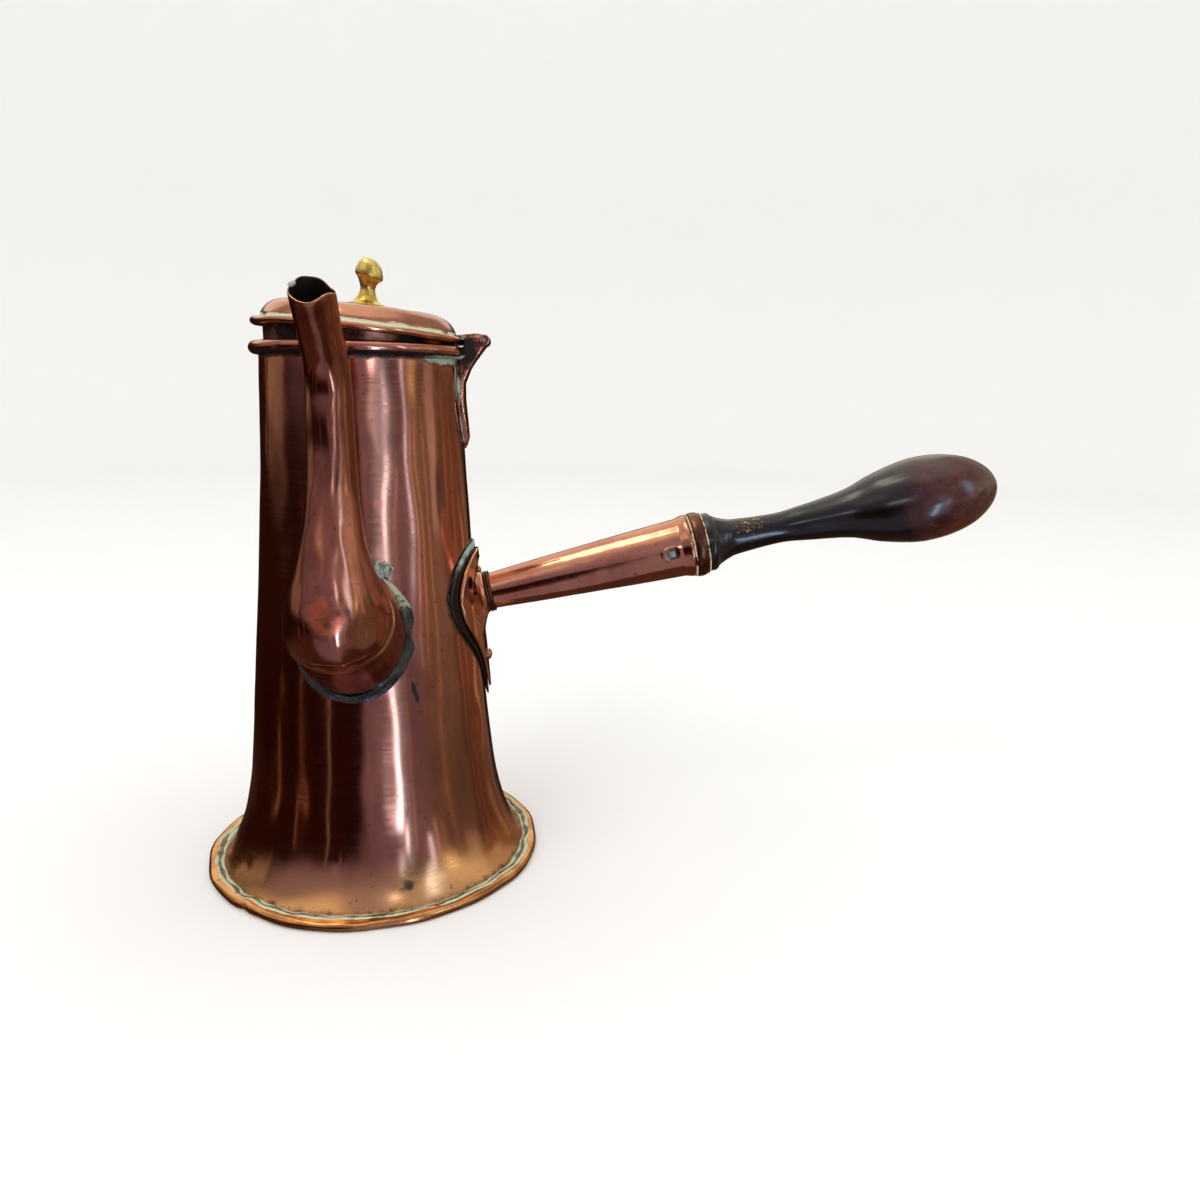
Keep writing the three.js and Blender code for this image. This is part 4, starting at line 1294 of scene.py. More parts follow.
# %% Shield outline
PLATE_HALF_WIDTH = 25.2
PLATE_TOP = 21.5
PLATE_TAIL = 44.0
BACK_MARGIN = 3.8
PLATE_LOW, PLATE_HIGH = 1.6, 2.8  # the front plate's faces, off the body
BACK_LOW, BACK_HIGH = 0.3, 1.3
SHIELD = [
    (0, 1),
    (0.45, 0.93),
    (0.8, 0.66),
    (1, 0.18),
    (0.98, -0.06),
    (0.86, -0.24),
    (0.52, -0.5),
    (0.24, -0.74),
    (0.09, -0.92),
    (0, -1),
]


def shield(margin, columns):
    """The edge in (across, up) from the handle's axis, one point for each direction."""
    half = smooth_line(SHIELD, 12)
    up = np.where(half[:, 1] > 0, PLATE_TOP + margin, PLATE_TAIL + margin) * half[:, 1]
    across = (PLATE_HALF_WIDTH + margin) * half[:, 0]
    across, up = np.append(across, -across[-2:0:-1]), np.append(up, up[-2:0:-1])
    angle = np.arctan2(up, across)
    wanted = round_angles(columns)
    reach = np.interp(wanted, angle, np.hypot(across, up), period=2 * math.pi)
    return np.stack([reach * np.cos(wanted), reach * np.sin(wanted)], 1)


def on_body(across, up, off):
    """A point on the +X side of the body, at a distance off its wall."""
    z = HANDLE_Z + up
    reach = body_radius(z) + off
    return np.stack([np.sqrt(np.maximum(reach**2 - across**2, 1)), across, z], -1)


def drill(radius, near, far, matrix):
    """A round bar along X between two distances, put in place."""
    profile = [(near, 0), (near, radius), (far, radius), (far, 0)]
    bar = skin("drill", turned_along(profile, 32), close_rows=False)
    bar.data.transform(in_metres(matrix))
    return bar


print("the handle's plate is", 2 * PLATE_HALF_WIDTH, "mm wide")

# %% Back plate
# Rows from the middle of the top face, round the edge, to the middle of the underside.
BACK_ROWS = [(share, BACK_HIGH) for share in (0, 0.25, 0.5, 0.7, 0.8, 0.88, 0.94, 0.975)]
BACK_ROWS += [(0.993, 1.2), (1, 0.95), (1, 0.65), (0.993, 0.35)]
BACK_ROWS += [(share, BACK_LOW) for share in (0.9, 0.5, 0)]
BEHIND_HOLE = (46.0, -18.2, 132.4)  # what the front plate's open rivet hole shows
edge = shield(BACK_MARGIN, 192)
grid = np.stack([on_body(*(share * edge).T, off) for share, off in BACK_ROWS])
grid[..., 0] += 0.12 * ripple(grid, (12, 12, 12), 71)
rim = np.array([share for share, _ in BACK_ROWS])[:, None]
green = 0.75 * smooth_step(grid[..., 2], 124, 146) + 0.4 * smooth_step(-grid[..., 2], -98, -82)
back_plate = skin(
    "handle_back_plate_dark",
    grid,
    close_rows=False,
    grime=0.25 + 0.75 * bump(distance_to(grid, BEHIND_HOLE), 4),
    verdigris=green * smooth_step(rim, 0.8, 0.95),
)
dress(back_plate, "pot", TEAL_COPPER, "dark_copper", "handle_back_plate")

# %% Front plate with its trumpet
BOSS_R = 9.2
BOSS_LENGTH = 4.8
BOSS_BORE = 6.6
TRUMPET_REACH = 17.0  # where the trumpet's flare has run out into the flat plate
TRUMPET = [(BOSS_LENGTH, BOSS_R), (3.9, 9.7), (2.9, 11.0), (1.7, 13.4)]
LOST_RIVET_AZIMUTH = -21.6
LOST_RIVET_Z = 132.4
LOST_RIVET_R = 2.25
LOST_RIVET_OUT = 50.1  # from the pot's axis to the hole in the plate
EDGE_ROW = 36  # the first row of the plate's rim


def on_handle(along, radius, angle):
    """A point round the handle's axis, for directions given in the body's (across, up)."""
    local = [np.full_like(angle, along), radius * np.cos(angle), radius * np.sin(angle)]
    return placed(np.stack(local, -1), HANDLE)


def plate_grid():
    edge = shield(0, 192)
    reach = np.hypot(*edge.T)
    unit = edge / reach[:, None]
    angle = np.arctan2(edge[:, 1], edge[:, 0])
    trumpet = [on_handle(along, radius, angle) for along, radius in TRUMPET]
    start = np.minimum(TRUMPET_REACH, 0.93 * reach)
    flat = [
        on_body(*(unit * (start + share * (reach - start))[:, None]).T, PLATE_HIGH)
        for share in (0, 0.35, 0.7, 0.95)
    ]
    line = smooth_line(np.stack(trumpet + flat), 5)
    ends = [
        on_body(*(edge * share).T, off)
        for share, off in ((0.995, 2.75), (1, 2.5), (1, 1.95), (0.995, 1.65), (0.93, PLATE_LOW))
    ]
    under = [on_body(*(unit * radius).T, PLATE_LOW) for radius in (12, 8)]
    bore = [on_handle(along, BOSS_BORE, angle) for along in (3.2, BOSS_LENGTH)]
    lip = [on_handle(BOSS_LENGTH + 0.15, 8.0, angle)]
    return np.concatenate([line, np.stack(ends + under + bore + lip)])


grid = plate_grid()
through = Matrix.Translation((0, 0, LOST_RIVET_Z)) @ turn(LOST_RIVET_AZIMUTH, "Z")
hole = through @ Vector((LOST_RIVET_OUT, 0, 0))
to_edge = np.abs(np.arange(len(grid)) - EDGE_ROW)[:, None]
# The plate's rim carries a painted highlight.
plate = skin("handle_plate_trumpet", grid, rubbed=0.45 * bump(to_edge, 1.5))
plate = cut(plate, drill(LOST_RIVET_R, LOST_RIVET_OUT - 1.5, LOST_RIVET_OUT + 7.9, through))
# The hole is darkened now, because the cut has made new points there.
near_hole = distance_to(mesh_points(plate.data), hole)
add_mask(plate.data, "grime", 1.4 * (1 - smooth_step(near_hole, 2.5, 3.1)))
add_mask(plate.data, "verdigris", 0.45 * bump(near_hole - 3.6, 0.6))
dress(plate, "pot", SOCKET_COPPER, "copper", "handle_plate")

# %% Rivets
SIDE_AZIMUTH = 18.1
SIDE_RIVET_Z = 131.3
SEAT = 0.45


def rivet_grid(height):
    outside = float(body_radius(height)) + PLATE_HIGH + SEAT
    inside = float(body_radius(height)) - SHEET - SEAT
    head = [(outside + 1.5, 0.0), (outside + 1.35, 1.0), (outside + 0.8, 2.1), (outside, 2.65)]
    tail = [(inside, 2.6), (inside - 0.6, 2.2), (inside - 1.0, 1.2), (inside - 1.1, 0.0)]
    shank = [(outside - 0.3, 2.6), (outside - 0.35, 1.4), (inside + 0.2, 1.4)]
    return turned_along(np.vstack([smooth_line(head, 6), shank, smooth_line(tail, 5)]), 40)


for name, azimuth, height in (
    ("plate_rivet_tail", 0, 94.8),
    ("plate_rivet_side", SIDE_AZIMUTH, SIDE_RIVET_Z),
):
    level = rivet_grid(height)
    from_top = level[..., 0].max() - level[..., 0]
    knob = skin(
        name + "_domed",
        placed(level, Matrix.Translation((0, 0, height)) @ turn(azimuth, "Z")),
        close_rows=False,
        grime=0.4 * bump(from_top - 1.6, 0.7),
    )
    dress(knob, "pot", SOCKET_COPPER, "copper", name)

# %% [markdown]
# ## The handle
#
# A ring, a tapering seamed socket, a ferrule between two pale lines, and the turned grip. All
# are turned about the handle's axis. The socket was pinned through: the pin's end sits in a
# small dimple, and the sheet round it has been pressed into a soft rounded square.

# %% Root ring
RING_FROM = 5.1
RING_PROFILE = [
    (0, 8.6),
    (0.1, 9.1),
    (0.6, 9.6),
    (1.05, 9.25),
    (1.3, 8.95),
    (1.6, 9.3),
    (2.0, 9.5),
    (2.45, 9.1),
    (2.6, 8.6),
]
grid = turned_along(smooth_line(RING_PROFILE, 4) + (RING_FROM, 0), 96)
groove = bump(grid[..., 0] - RING_FROM - 1.3, 0.35) + bump(grid[..., 0] - RING_FROM - 2.5, 0.3)
ring = skin("socket_ring_beaded", placed(grid, HANDLE), grime=0.8 * groove, verdigris=0.35 * groove)
dress(ring, "pot", LINED_COPPER, "dark_copper", "socket_root_ring")

# %% Socket
SOCKET_FROM = 5.3
SOCKET_TO = 100.3
LIP_FROM = 95.3
SOCKET_ROOT_R = 8.0
SOCKET_MOUTH_R = 13.3
DIMPLE_R = 2.6
DIMPLE_DEPTH = 0.24
PIN_HOLE_R = 2.2


def socket_radius(along):
    share = (along - SOCKET_FROM) / (LIP_FROM - SOCKET_FROM)
    belly = 0.35 * np.sin(np.pi * np.clip(share, 0, 1))
    lip = smooth_step(along, LIP_FROM, SOCKET_TO)
    return SOCKET_ROOT_R + (SOCKET_MOUTH_R - SOCKET_ROOT_R) * np.minimum(share, 1) + belly + lip


def socket_grid():
    along = np.append(np.linspace(SOCKET_FROM, 80, 60), np.linspace(80.4, SOCKET_TO, 50))
    grid = turned_along(np.stack([along, socket_radius(along)], 1), 144)
    normals = grid_normals(grid)
    push = 0.06 * ripple(grid, (34, 14, 14), 81) + 0.015 * ripple(grid, (9, 6, 6), 82)
    # A distance that grows in rounded squares about each end of the pin.
    square = (np.abs(grid[..., 0] - PIN_ALONG) ** 3 + np.abs(grid[..., 2]) ** 3) ** (1 / 3)
    at_side = np.abs(grid[..., 1]) > 6
    push = push - at_side * DIMPLE_DEPTH * bump(square, DIMPLE_R)
    push = push + at_side * 0.1 * bump(square - 3.7, 1.0)
    seam = bump(np.degrees(np.arctan2(grid[..., 1], -grid[..., 2])), 2.5)
    return grid + normals * (push + 0.22 * seam)[..., None], normals


grid, normals = socket_grid()
shell = sheet_grid(grid, SHEET, normals)
near_pin = np.hypot(shell[..., 0] - PIN_ALONG, shell[..., 2]) + 50 * (np.abs(shell[..., 1]) < 6)
near_ring = shell[..., 0] - SOCKET_FROM - 2.3
socket = skin(
    "handle_socket_seamed",
    placed(shell, HANDLE),
    grime=np.maximum(0.5 * bump(near_ring, 1.2), 0.45 * bump(near_pin - 2.4, 0.8)),
    verdigris=0.4 * bump(near_ring, 0.6),
)
across = HANDLE @ Matrix.Translation((PIN_ALONG, 0, 0)) @ turn(90, "Z")
socket = cut(socket, drill(PIN_HOLE_R, -20, 20, across))
dress(socket, "pot", SOCKET_COPPER, "copper", "handle_socket")

# %% Cross pin
PIN_HALF = 12.45
PIN_ROWS = [(0, 0), (0.04, 1.3), (0.15, 1.68), (0.5, 1.78)]
SQUARENESS = 5
a = round_angles(48)
corner = (np.abs(np.cos(a)) ** SQUARENESS + np.abs(np.sin(a)) ** SQUARENESS) ** (-1 / SQUARENESS)
rows = np.array(
    [(-PIN_HALF + back, r) for back, r in PIN_ROWS]
    + [(PIN_HALF - back, r) for back, r in PIN_ROWS[::-1]]
)
grid = np.stack(
    [
        PIN_ALONG + np.outer(rows[:, 1], corner * np.cos(a)),
        np.outer(rows[:, 0], np.ones_like(a)),
        np.outer(rows[:, 1], corner * np.sin(a)),
    ],
    2,
)
pin = skin("cross_pin_filed", placed(grid, HANDLE), close_rows=False, verdigris=0.35)
dress(pin, "pot", IRON, "wire", "grip_cross_pin")

# %% Ferrule
FERRULE_FROM = 100.99
FERRULE_TO = 107.99
FERRULE_PROFILE = [
    (0, 14.35),
    (0.25, 14.55),
    (0.55, 14.5),
    (0.8, 14.3),
    (1.7, 14.75),
    (3.3, 14.9),
    (5.0, 14.6),
    (6.2, 14.0),
    (6.5, 14.1),
    (6.8, 14.0),
    (7.0, 13.7),
]
FERRULE_BORE = [(7.0, 12.1), (0, 12.1)]
profile = np.vstack([smooth_line(FERRULE_PROFILE, 5), FERRULE_BORE]) + (FERRULE_FROM, 0)
grid = turned_along(profile, 144)
near_end = np.minimum(grid[..., 0] - FERRULE_FROM, FERRULE_TO - grid[..., 0])
ferrule = skin(
    "handle_ferrule_banded",
    placed(grid, SAGGED),
    grime=0.75 * bump(near_end - 1.0, 0.35),
    verdigris=0.95 * (near_end < 0.72) * (0.85 + 0.25 * ripple(grid, (4, 4, 4), 85)),
)
dress(ferrule, "pot", LINED_COPPER, "dark_copper", "handle_ferrule")

# %% Grip
GRIP_FROM = 108.29
GRIP_LENGTH = 139.0
SHOULDER, NECK, BULB = 13.3, 7.0, 19.7
GRIP = [
    (0, SHOULDER),
    (0.02, SHOULDER),
    (0.036, 0.86 * SHOULDER),
    (0.07, NECK + 2.3),
    (0.11, NECK + 1.1),
    (0.245, NECK),
    (0.335, NECK + 1.2),
    (0.485, 0.57 * BULB),
    (0.59, 0.81 * BULB),
    (0.695, 0.975 * BULB),
    (0.765, BULB),
    (0.835, 0.94 * BULB),
    (0.905, 0.785 * BULB),
    (0.96, 0.53 * BULB),
    (0.99, 0.26 * BULB),
    (1, 0),
]
SPIGOT = [(-36, 0), (-36, 10.1), (-12.3, 11.4), (-0.4, 11.4), (-0.02, 12.8)]
outline = resample(smooth_line(GRIP, 24) * (GRIP_LENGTH, 1), 0.55)
grid = turned_along(np.vstack([SPIGOT, outline]) + (GRIP_FROM, 0), 160)
share = (grid[..., 0] - GRIP_FROM) / GRIP_LENGTH
out = np.hypot(grid[..., 1], grid[..., 2])
wobble = 0.03 * ripple(grid, (22, 16, 16), 91) * smooth_step(share, 0.03, 0.1)
grid[..., 1:] *= (1 + wobble / np.maximum(out, 2))[..., None]
grip = skin(
    "turned_grip",
    placed(grid, SAGGED),
    close_rows=False,
    worn=0.8 * smooth_step(share, 0.45, 0.85) + 0.3 * bump(share - 0.02, 0.02),
    chipped=1.15 * bump(share - 0.15, 0.09) * (0.7 + 0.3 * grid[..., 2] / np.maximum(out, 1)),
)
dress(grip, "pot", WOOD, "grip_wood", "wooden_grip")

# %% [markdown]
# ## The lid
#
# A shallow dome with a quarter-round side, a hollow moulding that has filled with green, and a
# rounded edge. Under it is the collar, a dark band that fits inside the mouth. On the crown is
# the finial, a cast knob that leans a little, like everything that has been picked up by it.

# %% Lid shell
LID_Z = 234.2
CROWN_Z = 244.5
LID_EDGE_R = 1.45
LID_EDGE_CENTRE = (42.75, LID_Z)
DOME_R = 40.4
FINIAL_X = 2.1
LID_TOP = [
    (0, CROWN_Z),
    (9, CROWN_Z - 0.05),
    (18, CROWN_Z - 0.3),
    (26, CROWN_Z - 0.7),
    (DOME_R - 7, CROWN_Z - 1.3),
    (DOME_R - 3.4, CROWN_Z - 2.8),
    (DOME_R - 1.4, CROWN_Z - 4.9),
    (DOME_R - 0.3, CROWN_Z - 6.8),
    (DOME_R, LID_Z + 2.1),
    (DOME_R + 0.8, LID_Z + 1.35),
]
top = smooth_line(LID_TOP, 8)
under = inward(top, -1.0)[::-1]
under = under[under[:, 0] < DOME_R - 0.9]
under[-1, 0] = 0
edge = arc(LID_EDGE_CENTRE, LID_EDGE_R, 100, -160, 26)
grid = turned(np.vstack([top, edge, under]), ROUND)
row = np.arange(len(grid))[:, None]
radius = np.hypot(grid[..., 0], grid[..., 1])
level = grid.copy()
ruffle = 0.14 * ripple(grid, (24, 24, 24), 101) + 0.05 * ripple(grid, (9, 9, 9), 102)
grid[..., 2] += smooth_step(radius, 6, 14) * ruffle
is_top = row < len(top)
beneath = (row > len(top) + len(edge)) * np.ones_like(radius)
hollow = is_top * bump(level[..., 2] - LID_Z - 2.0, 1.2) * (radius > 37)
foot_ring = is_top * bump(np.hypot(grid[..., 0] - FINIAL_X, grid[..., 1]) - 8.6, 1.0)
# The upper part of the rounded edge carries a painted highlight.
lid_shell = skin(
    "lid_dome",
    placed(grid, LID),
    close_rows=False,
    grime=np.maximum.reduce([0.6 * hollow, 0.5 * foot_ring, 0.7 * beneath]),
    verdigris=np.maximum(hollow * (1.0 + 0.25 * ripple(grid, (13, 13, 13), 103)), 0.2 * beneath),
    rubbed=0.3 * (row >= len(top)) * (row < len(top) + 14),
)
dress(lid_shell, "lid", LID_COPPER, "copper", "lid_shell")

# %% Collar
COLLAR_R = 39.3
COLLAR_TOP = LID_Z + LID_EDGE_R - 0.3
COLLAR_LOW = LID_Z - LID_EDGE_R - 10.2
LAP_AZIMUTH = -118  # where one end of the band lies over the other
grid = turned(resample([(COLLAR_R - 0.6, COLLAR_LOW), (COLLAR_R, COLLAR_TOP)], 0.8), ROUND)
past_lap = turn_between(azimuth_of(grid), LAP_AZIMUTH)
lap = smooth_step(past_lap, -0.4, 0.4) * (1 - smooth_step(past_lap, 5, 40))
grid = push_out(grid, 0.1 * ripple(grid, (18, 18, 9), 111) - 0.25 * lap)
shell = sheet_grid(grid, 1.0)
collar = skin(
    "lid_collar_band", placed(shell, LID), grime=0.5 + 0.25 * ripple(shell, (12, 12, 8), 112)
)
dress(collar, "lid", DARK_COPPER, "dark_copper", "lid_collar")

# %% Finial
FINIAL_FOOT, FINIAL_NECK, FINIAL_BULB = 8.1, 3.1, 5.7
FINIAL_H = 19.6
FINIAL_SEAT = CROWN_Z + 0.3
FINIAL_LEAN = 1.2
# Share of the height, and radius.
FINIAL = [
    (0.0, FINIAL_FOOT),
    (0.04, FINIAL_FOOT - 0.1),
    (0.1, 0.68 * FINIAL_FOOT),
    (0.2, FINIAL_NECK + 0.9),
    (0.33, FINIAL_NECK),
    (0.43, FINIAL_NECK + 0.2),
    (0.54, 0.75 * FINIAL_BULB),
    (0.61, FINIAL_BULB - 0.2),
    (0.66, FINIAL_BULB),
    (0.75, 0.95 * FINIAL_BULB),
    (0.88, 0.77 * FINIAL_BULB),
    (0.97, 0.44 * FINIAL_BULB),
    (1.0, 0.0),
]
STUD = [(0, -4.5), (1.9, -4.5), (2.2, -3.9), (2.2, -2.9), (1.5, -2.8), (1.5, 0)]
knob = smooth_line(FINIAL, 8)[:, ::-1] * (1, FINIAL_H)
grid = turned(np.vstack([STUD, knob]) + (0, FINIAL_SEAT), 96)
up = np.clip((grid[..., 2] - FINIAL_SEAT) / FINIAL_H, 0, 1)
# The knob was cast askew: its right-hand side hangs lower.
grid[..., 2] -= 0.2 * grid[..., 0] * smooth_step(up, 0.42, 0.62)
grid[..., 0] += FINIAL_X + FINIAL_LEAN * up**1.2
finial = skin(
    "finial_turned",
    placed(grid, LID),
    close_rows=False,
    grime=0.55 * bump(up - 0.02, 0.03) + 0.3 * bump(up - 0.5, 0.05),
)
dress(finial, "lid", BRASS, "finial_brass", "finial")

# %% [markdown]
# ## The hinge
#
# The bracket and the lid's strap are small thick forgings with soft corners, which blend into one
# another as forged and filed metal does. Their frame solids have the right outlines, so a copy
# of each is rebuilt as a fine even skin and smoothed, which rounds every corner alike. Solder
# fills the fork between the bracket's arm and the body, and its tail lies in a bed of solder.


# %% Hinge pieces
def prism(name, outline, near, far):
    """A closed outline of (x, z) drawn out from one y to another."""
    count = len(outline)
    points = [(x, y, z) for y in (near, far) for x, z in outline]
    walls = [(i, (i + 1) % count, count + (i + 1) % count, count + i) for i in range(count)]
    caps = [tuple(range(count))[::-1], tuple(range(count, 2 * count))]
    mesh = bpy.data.meshes.new(name)
    mesh.from_pydata((np.array(points) * MM).tolist(), [], walls + caps)
    tidy_mesh(mesh, 30)
    return show(name, mesh)


def softened(node, name, *added, voxel, rounds):
    """A frame solid and what is added to it as one even skin, with its corners rounded off."""
    mesh = NODES[node].data.copy()
    mesh.materials.clear()
    tidy_mesh(mesh, 30)
    source = joined(show(name + "_source", mesh), *added)
    remesh = source.modifiers.new("even", "REMESH")
    remesh.mode = "VOXEL"
    remesh.voxel_size = voxel * MM
    smooth = source.modifiers.new("soft", "SMOOTH")
    smooth.factor = 0.5
    smooth.iterations = rounds
    made = baked(source, name)
    made.data.shade_smooth()
    return made


# The solder that fills the fork between the bracket's arm and the body, as (x, z).
WEB = [
    (42.0, 204),
    (41.4, 227.4),
    (44.4, 228.0),
    (44.4, 233.0),
    (50.0, 233.2),
    (50.4, 230.0),
    (46.4, 223.6),
    (44.0, 217),
    (43.0, 206),
]
# Two cheeks beside the strap close the fork as far up as the knuckles.
CHEEK = [
    (43.6, 225),
    (43.4, 232.3),
    (44.1, 233.2),
    (44.2, 235.9),
    (47.0, 237.1),
    (51, 236.8),
    (51.5, 231),
    (46.6, 223.6),
]
# The bed of solder that the bracket's tail lies in: height, and half its width.
BED = [
    (189.6, 0.6),
    (193, 3.6),
    (199, 6.6),
    (205, 8.8),
    (210, 9.2),
    (216, 8.7),
    (222, 8.6),
    (226.8, 10.5),
]
WEB_HALF = 4.6
CHEEK_THICK = 1.6
CHEEK_STARTS = (-7.2, 5.6)
# The dark pocket in the fork is painted shade.
FORK = (45.8, 230.5)  # x and z of the dark pocket in the fork


def bed_grid():
    line = smooth_line(BED, 6)
    share = np.array((-1, -0.97, -0.85, -0.5, 0, 0.5, 0.85, 0.97, 1, 0.9, -0.9))
    off = np.array((0.15, 0.55, 0.85, 0.95, 1, 0.95, 0.85, 0.55, 0.15, 0.1, 0.1))
    z = np.repeat(line[:, :1], len(share), 1)
    across = line[:, 1:] * share
    reach = body_radius(z) + off
    grid = np.stack([np.sqrt(reach**2 - across**2), across, z], 2)
    return push_out(grid, 0.15 * ripple(grid, (4, 4, 4), 121) * (off > 0.3))


web = prism("web", WEB, -WEB_HALF, WEB_HALF)
cheeks = [prism("cheek", CHEEK, near, near + CHEEK_THICK) for near in CHEEK_STARTS]
bracket = softened("hinge_bracket", "rat_tail_bracket", web, *cheeks, voxel=0.35, rounds=6)
points = mesh_points(bracket.data)
off = np.hypot(points[:, 0], points[:, 1]) - body_radius(points[:, 2])
# Painted shade fills the fork between the arm and the body.
painted_fork_shade = bump(np.hypot(points[:, 0] - FORK[0], 0.65 * (points[:, 2] - FORK[1])), 4.6)
at_wall = 0.7 * bump(off - 0.3, 0.8)
low_web = bump(points[:, 0] - 43.2, 1.6) * bump(points[:, 2] - 217, 7)
add_mask(bracket.data, "grime", 1.2 * painted_fork_shade + at_wall)
add_mask(bracket.data, "verdigris", at_wall + 0.5 * low_web)
grid = bed_grid()
salt = 0.5 + 0.25 * ripple(grid, (5, 5, 9), 122)
bracket = joined(bracket, skin("bed", grid, close_rows=False, verdigris=salt, grime=0.6))
dress(bracket, "pot", SOCKET_COPPER, "copper", "hinge_bracket")

# A rib under the strap comes down nearly to the web when the lid is shut.
RIB = [(45.2, 234.1), (49.8, 234.1), (49.8, 236.6), (45.2, 236.8)]
RIB_HALF = 3.6
rib = prism("rib", RIB, -RIB_HALF, RIB_HALF)
strap = softened("lid_strap", "lid_strap_forged", rib, voxel=0.3, rounds=5)
# The leaf is beaten down over the lid's edge: how high it may reach, at distances along X.
LEAF = ((36, 38.5, 40, 41.2, 43, 46.5, 50.5), (241.3, 239.6, 237.8, 237.3, 237.5, 237.9, 238.4))
points = mesh_points(strap.data)
points[:, 2] = np.minimum(points[:, 2], np.interp(points[:, 0], *LEAF))
strap.data.vertices.foreach_set("co", (points * MM).ravel())
strap.data.update()
# The strap is painted dark below, as painted shade, and bright gold on top, as a painted highlight.
add_mask(strap.data, "grime", 0.95 * (1 - smooth_step(points[:, 2], 235.2, 236.6)))
add_mask(strap.data, "verdigris", 0.7 * bump(points[:, 0] - 43.5, 2.2) * (points[:, 2] < 237.2))
add_mask(strap.data, "rubbed", 0.9 * smooth_step(points[:, 2], 236.4, 237.6))
dress(strap, "lid", SOCKET_COPPER, "copper", "lid_strap")

# %% [markdown]
# ## Pieces that stay as the frame has them
#
# The wire inside the bead, the hinge pin and the washer under the crown can hardly be seen. Their
# frame solids are right as they are, and only get a finish.

# %% Carried-over pieces
for node, finish in (("rim_wire", IRON), ("hinge_pin", IRON), ("finial_washer", BRASS)):
    NODES[node].data.materials.clear()
    NODES[node].data.materials.append(finish)
    print(node, "is finished as", finish.name)

# %% [markdown]
# ## Studio
#
# A polished pot is a picture of the room round it. The room here is painted on the sky, panel by
# panel: dark boards at eye level, a hazy wall ahead of the pot that its spout and socket mirror,
# narrow windows that give the long streaks on the body, and a pale ceiling with a skylight.
# A white paper sweep stands under and behind the pot. It gets its shadow from two soft boxes,
# and the copper doesn't see it, because a white floor would wash out its underside.


# %% Paper sweep
def paper():
    material, _ = new_tree("white_paper")
    return finished(material, Base_Color="#f4f3f1", Roughness=0.9, Specular_IOR_Level=0.1)


floor_line = [(0, -0.3), (400, -0.3), (1500, -0.3)]
sweep_line = np.vstack([floor_line, arc((2200, 799.7), 800, -90, 0, 16), [(3000, 3200)]])
sweep = skin("paper_sweep", turned(sweep_line, 96), close_rows=False, sharp=180)
sweep.data.materials.append(paper())
sweep.visible_glossy = False
print("paper sweep is", round(2 * sweep_line[-1, 0] * MM, 1), "m across")

# %% The room's panels
# Tints of the light, as linear values.
DAYLIGHT = (0.62, 0.85, 1.15)
HAZE = (0.9, 0.76, 1.0)
CREAM = (1.0, 0.95, 0.82)
LAMP = (1.0, 1.05, 0.6)
TAN = (1.0, 0.85, 0.66)
WOODEN = (1.0, 0.6, 0.35)
# The room behind the panels, from below to above, and the plain light that the paper gets.
TABLE = (0.1, 0.05, 0.035, 1)
BOARDS = (0.026, 0.008, 0.004, 1)
WALLS = (0.5, 0.48, 0.42, 1)
CEILING = (1.0, 0.98, 0.95, 1)
PAPER_LIGHT = (1.18, 1.18, 1.19, 1)
# Azimuth from and to, elevation from and to, soft edge, all in degrees; brightness and tint.
PANELS = [
    (-180, -108, 24, 50, 14, 0.9, CREAM),  # bright wall above the boards on the left
    (-170, -66, 5, 26, 10, 0.34, HAZE),  # hazy wall ahead
    (-110, -66, 24, 52, 12, 0.45, HAZE),
    (-130, -50, -78, -32, 10, 0.34, HAZE),  # table ahead
    (-54, 12, -35, 6, 8, 0.24, TAN),  # wall to the right
    (-84, -28, -22, 6, 6, 0.28, HAZE),  # wall beside the tall window
    (-92, -77, -38, 8, 5, 0.36, HAZE),
    (12, 66, -32, 12, 10, 0.2, WOODEN),  # door, and light through its gaps
    (44, 45.6, -17, -4, 1, 1.3, WOODEN),
    (30, 31.2, -30, 3, 0.8, 0.6, WOODEN),
    (19, 20, -26, 2, 0.8, 0.6, TAN),
    (57, 58, -26, 0, 0.8, 0.5, TAN),
    (178, 182, -22, -13, 2, 0.34, WOODEN),  # strip of wall on the left
    (154, 186, -1, 9, 4, 0.38, TAN),
    (147, 148.6, -2, 6, 0.8, 0.6, WOODEN),  # gaps in the dark boards
    (-151, -149.6, -22, -2, 0.8, 0.4, WOODEN),
    (-123.5, -121, -26, 4, 1, 0.3, TAN),
    (60, 150, 16, 60, 6, 1.1, CREAM),  # bright rooms behind the pot
    (-66, -52, -30, 10, 4, 0.6, DAYLIGHT),  # tall window, stepped where the view shifts
    (-60.5, -56.5, -6, 4, 1, 4.6, DAYLIGHT),
    (-68.2, -62.6, -34, -5, 1.2, 11, DAYLIGHT),
    (-69, -62.5, 4, 15, 1.5, 1.6, DAYLIGHT),
    (-37.2, -33.6, -3, 10, 1, 2.6, DAYLIGHT),  # second window, its blind half down
    (-26, 12, 8, 28, 8, 0.85, CREAM),
    (-41, -33, 10, 36, 3, 3.6, DAYLIGHT),
    (12, 46, 5, 22, 8, 0.55, TAN),
    (-12.2, -11.4, -20, 3, 0.6, 1.1, TAN),
    (-49, -48.2, -28, 3, 0.6, 1.2, TAN),
    (-29.5, -28.2, -8, 6, 0.6, 1.4, TAN),
    (-22.6, -21.6, -8, 5, 0.6, 1.1, TAN),
    (-5, 7, -3, 12, 2, 0.6, CREAM),
    (-27, -17, 5, 14, 2.5, 1.7, LAMP),
    (134, 228, 68, 78, 4, 5.2, CREAM),  # skylight
]
print("room panels:", len(PANELS))


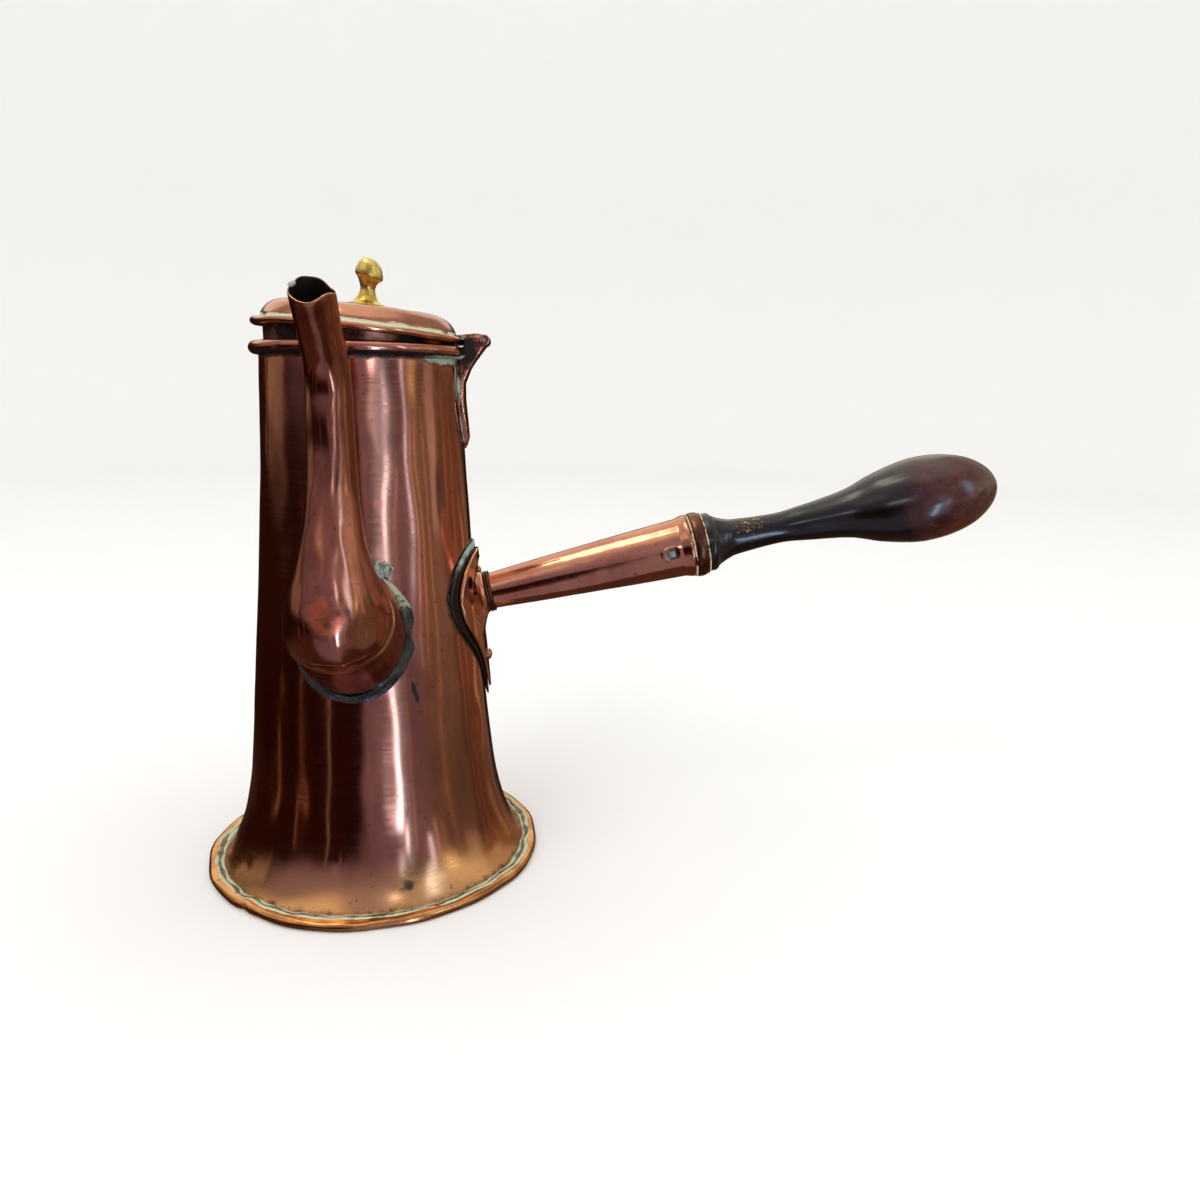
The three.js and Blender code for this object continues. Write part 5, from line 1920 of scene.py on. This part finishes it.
# %% Room
def near_middle(tree, value, first, last, edge, wraps=False):
    """1 between two values, 0 beyond them and their soft edge."""
    away = maths(tree, "SUBTRACT", value, (first + last) / 2)
    if wraps:
        away = maths(tree, "WRAP", away, 180, -180)
    away = maths(tree, "ABSOLUTE", away)
    half = (last - first) / 2
    return stretch(tree, away, half - edge / 2, half + edge / 2, 1, 0)


def room():
    world = bpy.data.worlds.new("painted_room")
    bpy.context.scene.world = world
    world.use_nodes = True
    tree = world.node_tree
    tree.nodes.clear()
    way = add_node(tree, "ShaderNodeTexCoord").outputs["Generated"]
    turns = add_node(
        tree, "ShaderNodeTexGradient", {"gradient_type": "RADIAL"}, Vector=way
    ).outputs["Fac"]
    azimuth = add_up(tree, turns, 360, -180)
    height = add_node(tree, "ShaderNodeSeparateXYZ", Vector=way).outputs["Z"]
    elevation = add_up(tree, maths(tree, "ARCSINE", height), math.degrees(1), 0)
    light = BOARDS
    for low, high, above in ((-16, -30, TABLE), (6, 24, WALLS), (48, 66, CEILING)):
        light = blend_colours(tree, stretch(tree, elevation, low, high), light, above)
    for first, last, lowest, highest, edge, level, tint in PANELS:
        beside = near_middle(tree, azimuth, first, last, edge, wraps=True)
        within = near_middle(tree, elevation, lowest, highest, edge)
        panel = (*(level * channel for channel in tint), 1)
        light = blend_colours(tree, maths(tree, "MULTIPLY", beside, within), light, panel)
    # The paper under the pot is lit by plain white, so that the room's tints don't stain it.
    shiny = add_node(tree, "ShaderNodeLightPath").outputs["Is Glossy Ray"]
    seen = blend_colours(tree, shiny, PAPER_LIGHT, light)
    background = add_node(tree, "ShaderNodeBackground", Color=seen, Strength=1.0)
    add_node(tree, "ShaderNodeOutputWorld", Surface=background.outputs[0])


room()
print("the room is painted on", bpy.context.scene.world.name)


# %% Soft boxes
def soft_box(name, place, aim, size, power, mirrored=False):
    light = bpy.data.lights.new(name, "AREA")
    light.shape = "DISK"
    light.size = size
    light.energy = power
    made = bpy.data.objects.new(name, light)
    bpy.context.scene.collection.objects.link(made)
    made.location = place
    made.rotation_euler = (Vector(aim) - Vector(place)).to_track_quat("-Z", "Y").to_euler()
    made.visible_glossy = mirrored
    return made


# Places in metres, diameters in metres, power in watts.
soft_box("key_box", (-0.9, -1.2, 1.6), (0, 0, 0.1), 0.9, 9)
soft_box("fill_box", (1.0, -0.4, 1.8), (0, 0, 0.1), 1.2, 4)
# A small near window that only the bulb of the grip is turned towards.
near_window = soft_box("near_window", (0.16, -0.46, 0.285), (0.22, 0, 0.18), 0.07, 0.05, True)
near_window.data.color = (0.75, 0.88, 1.0)
bpy.context.scene.view_settings.view_transform = "Standard"
print("lights in all:", len(bpy.data.lights))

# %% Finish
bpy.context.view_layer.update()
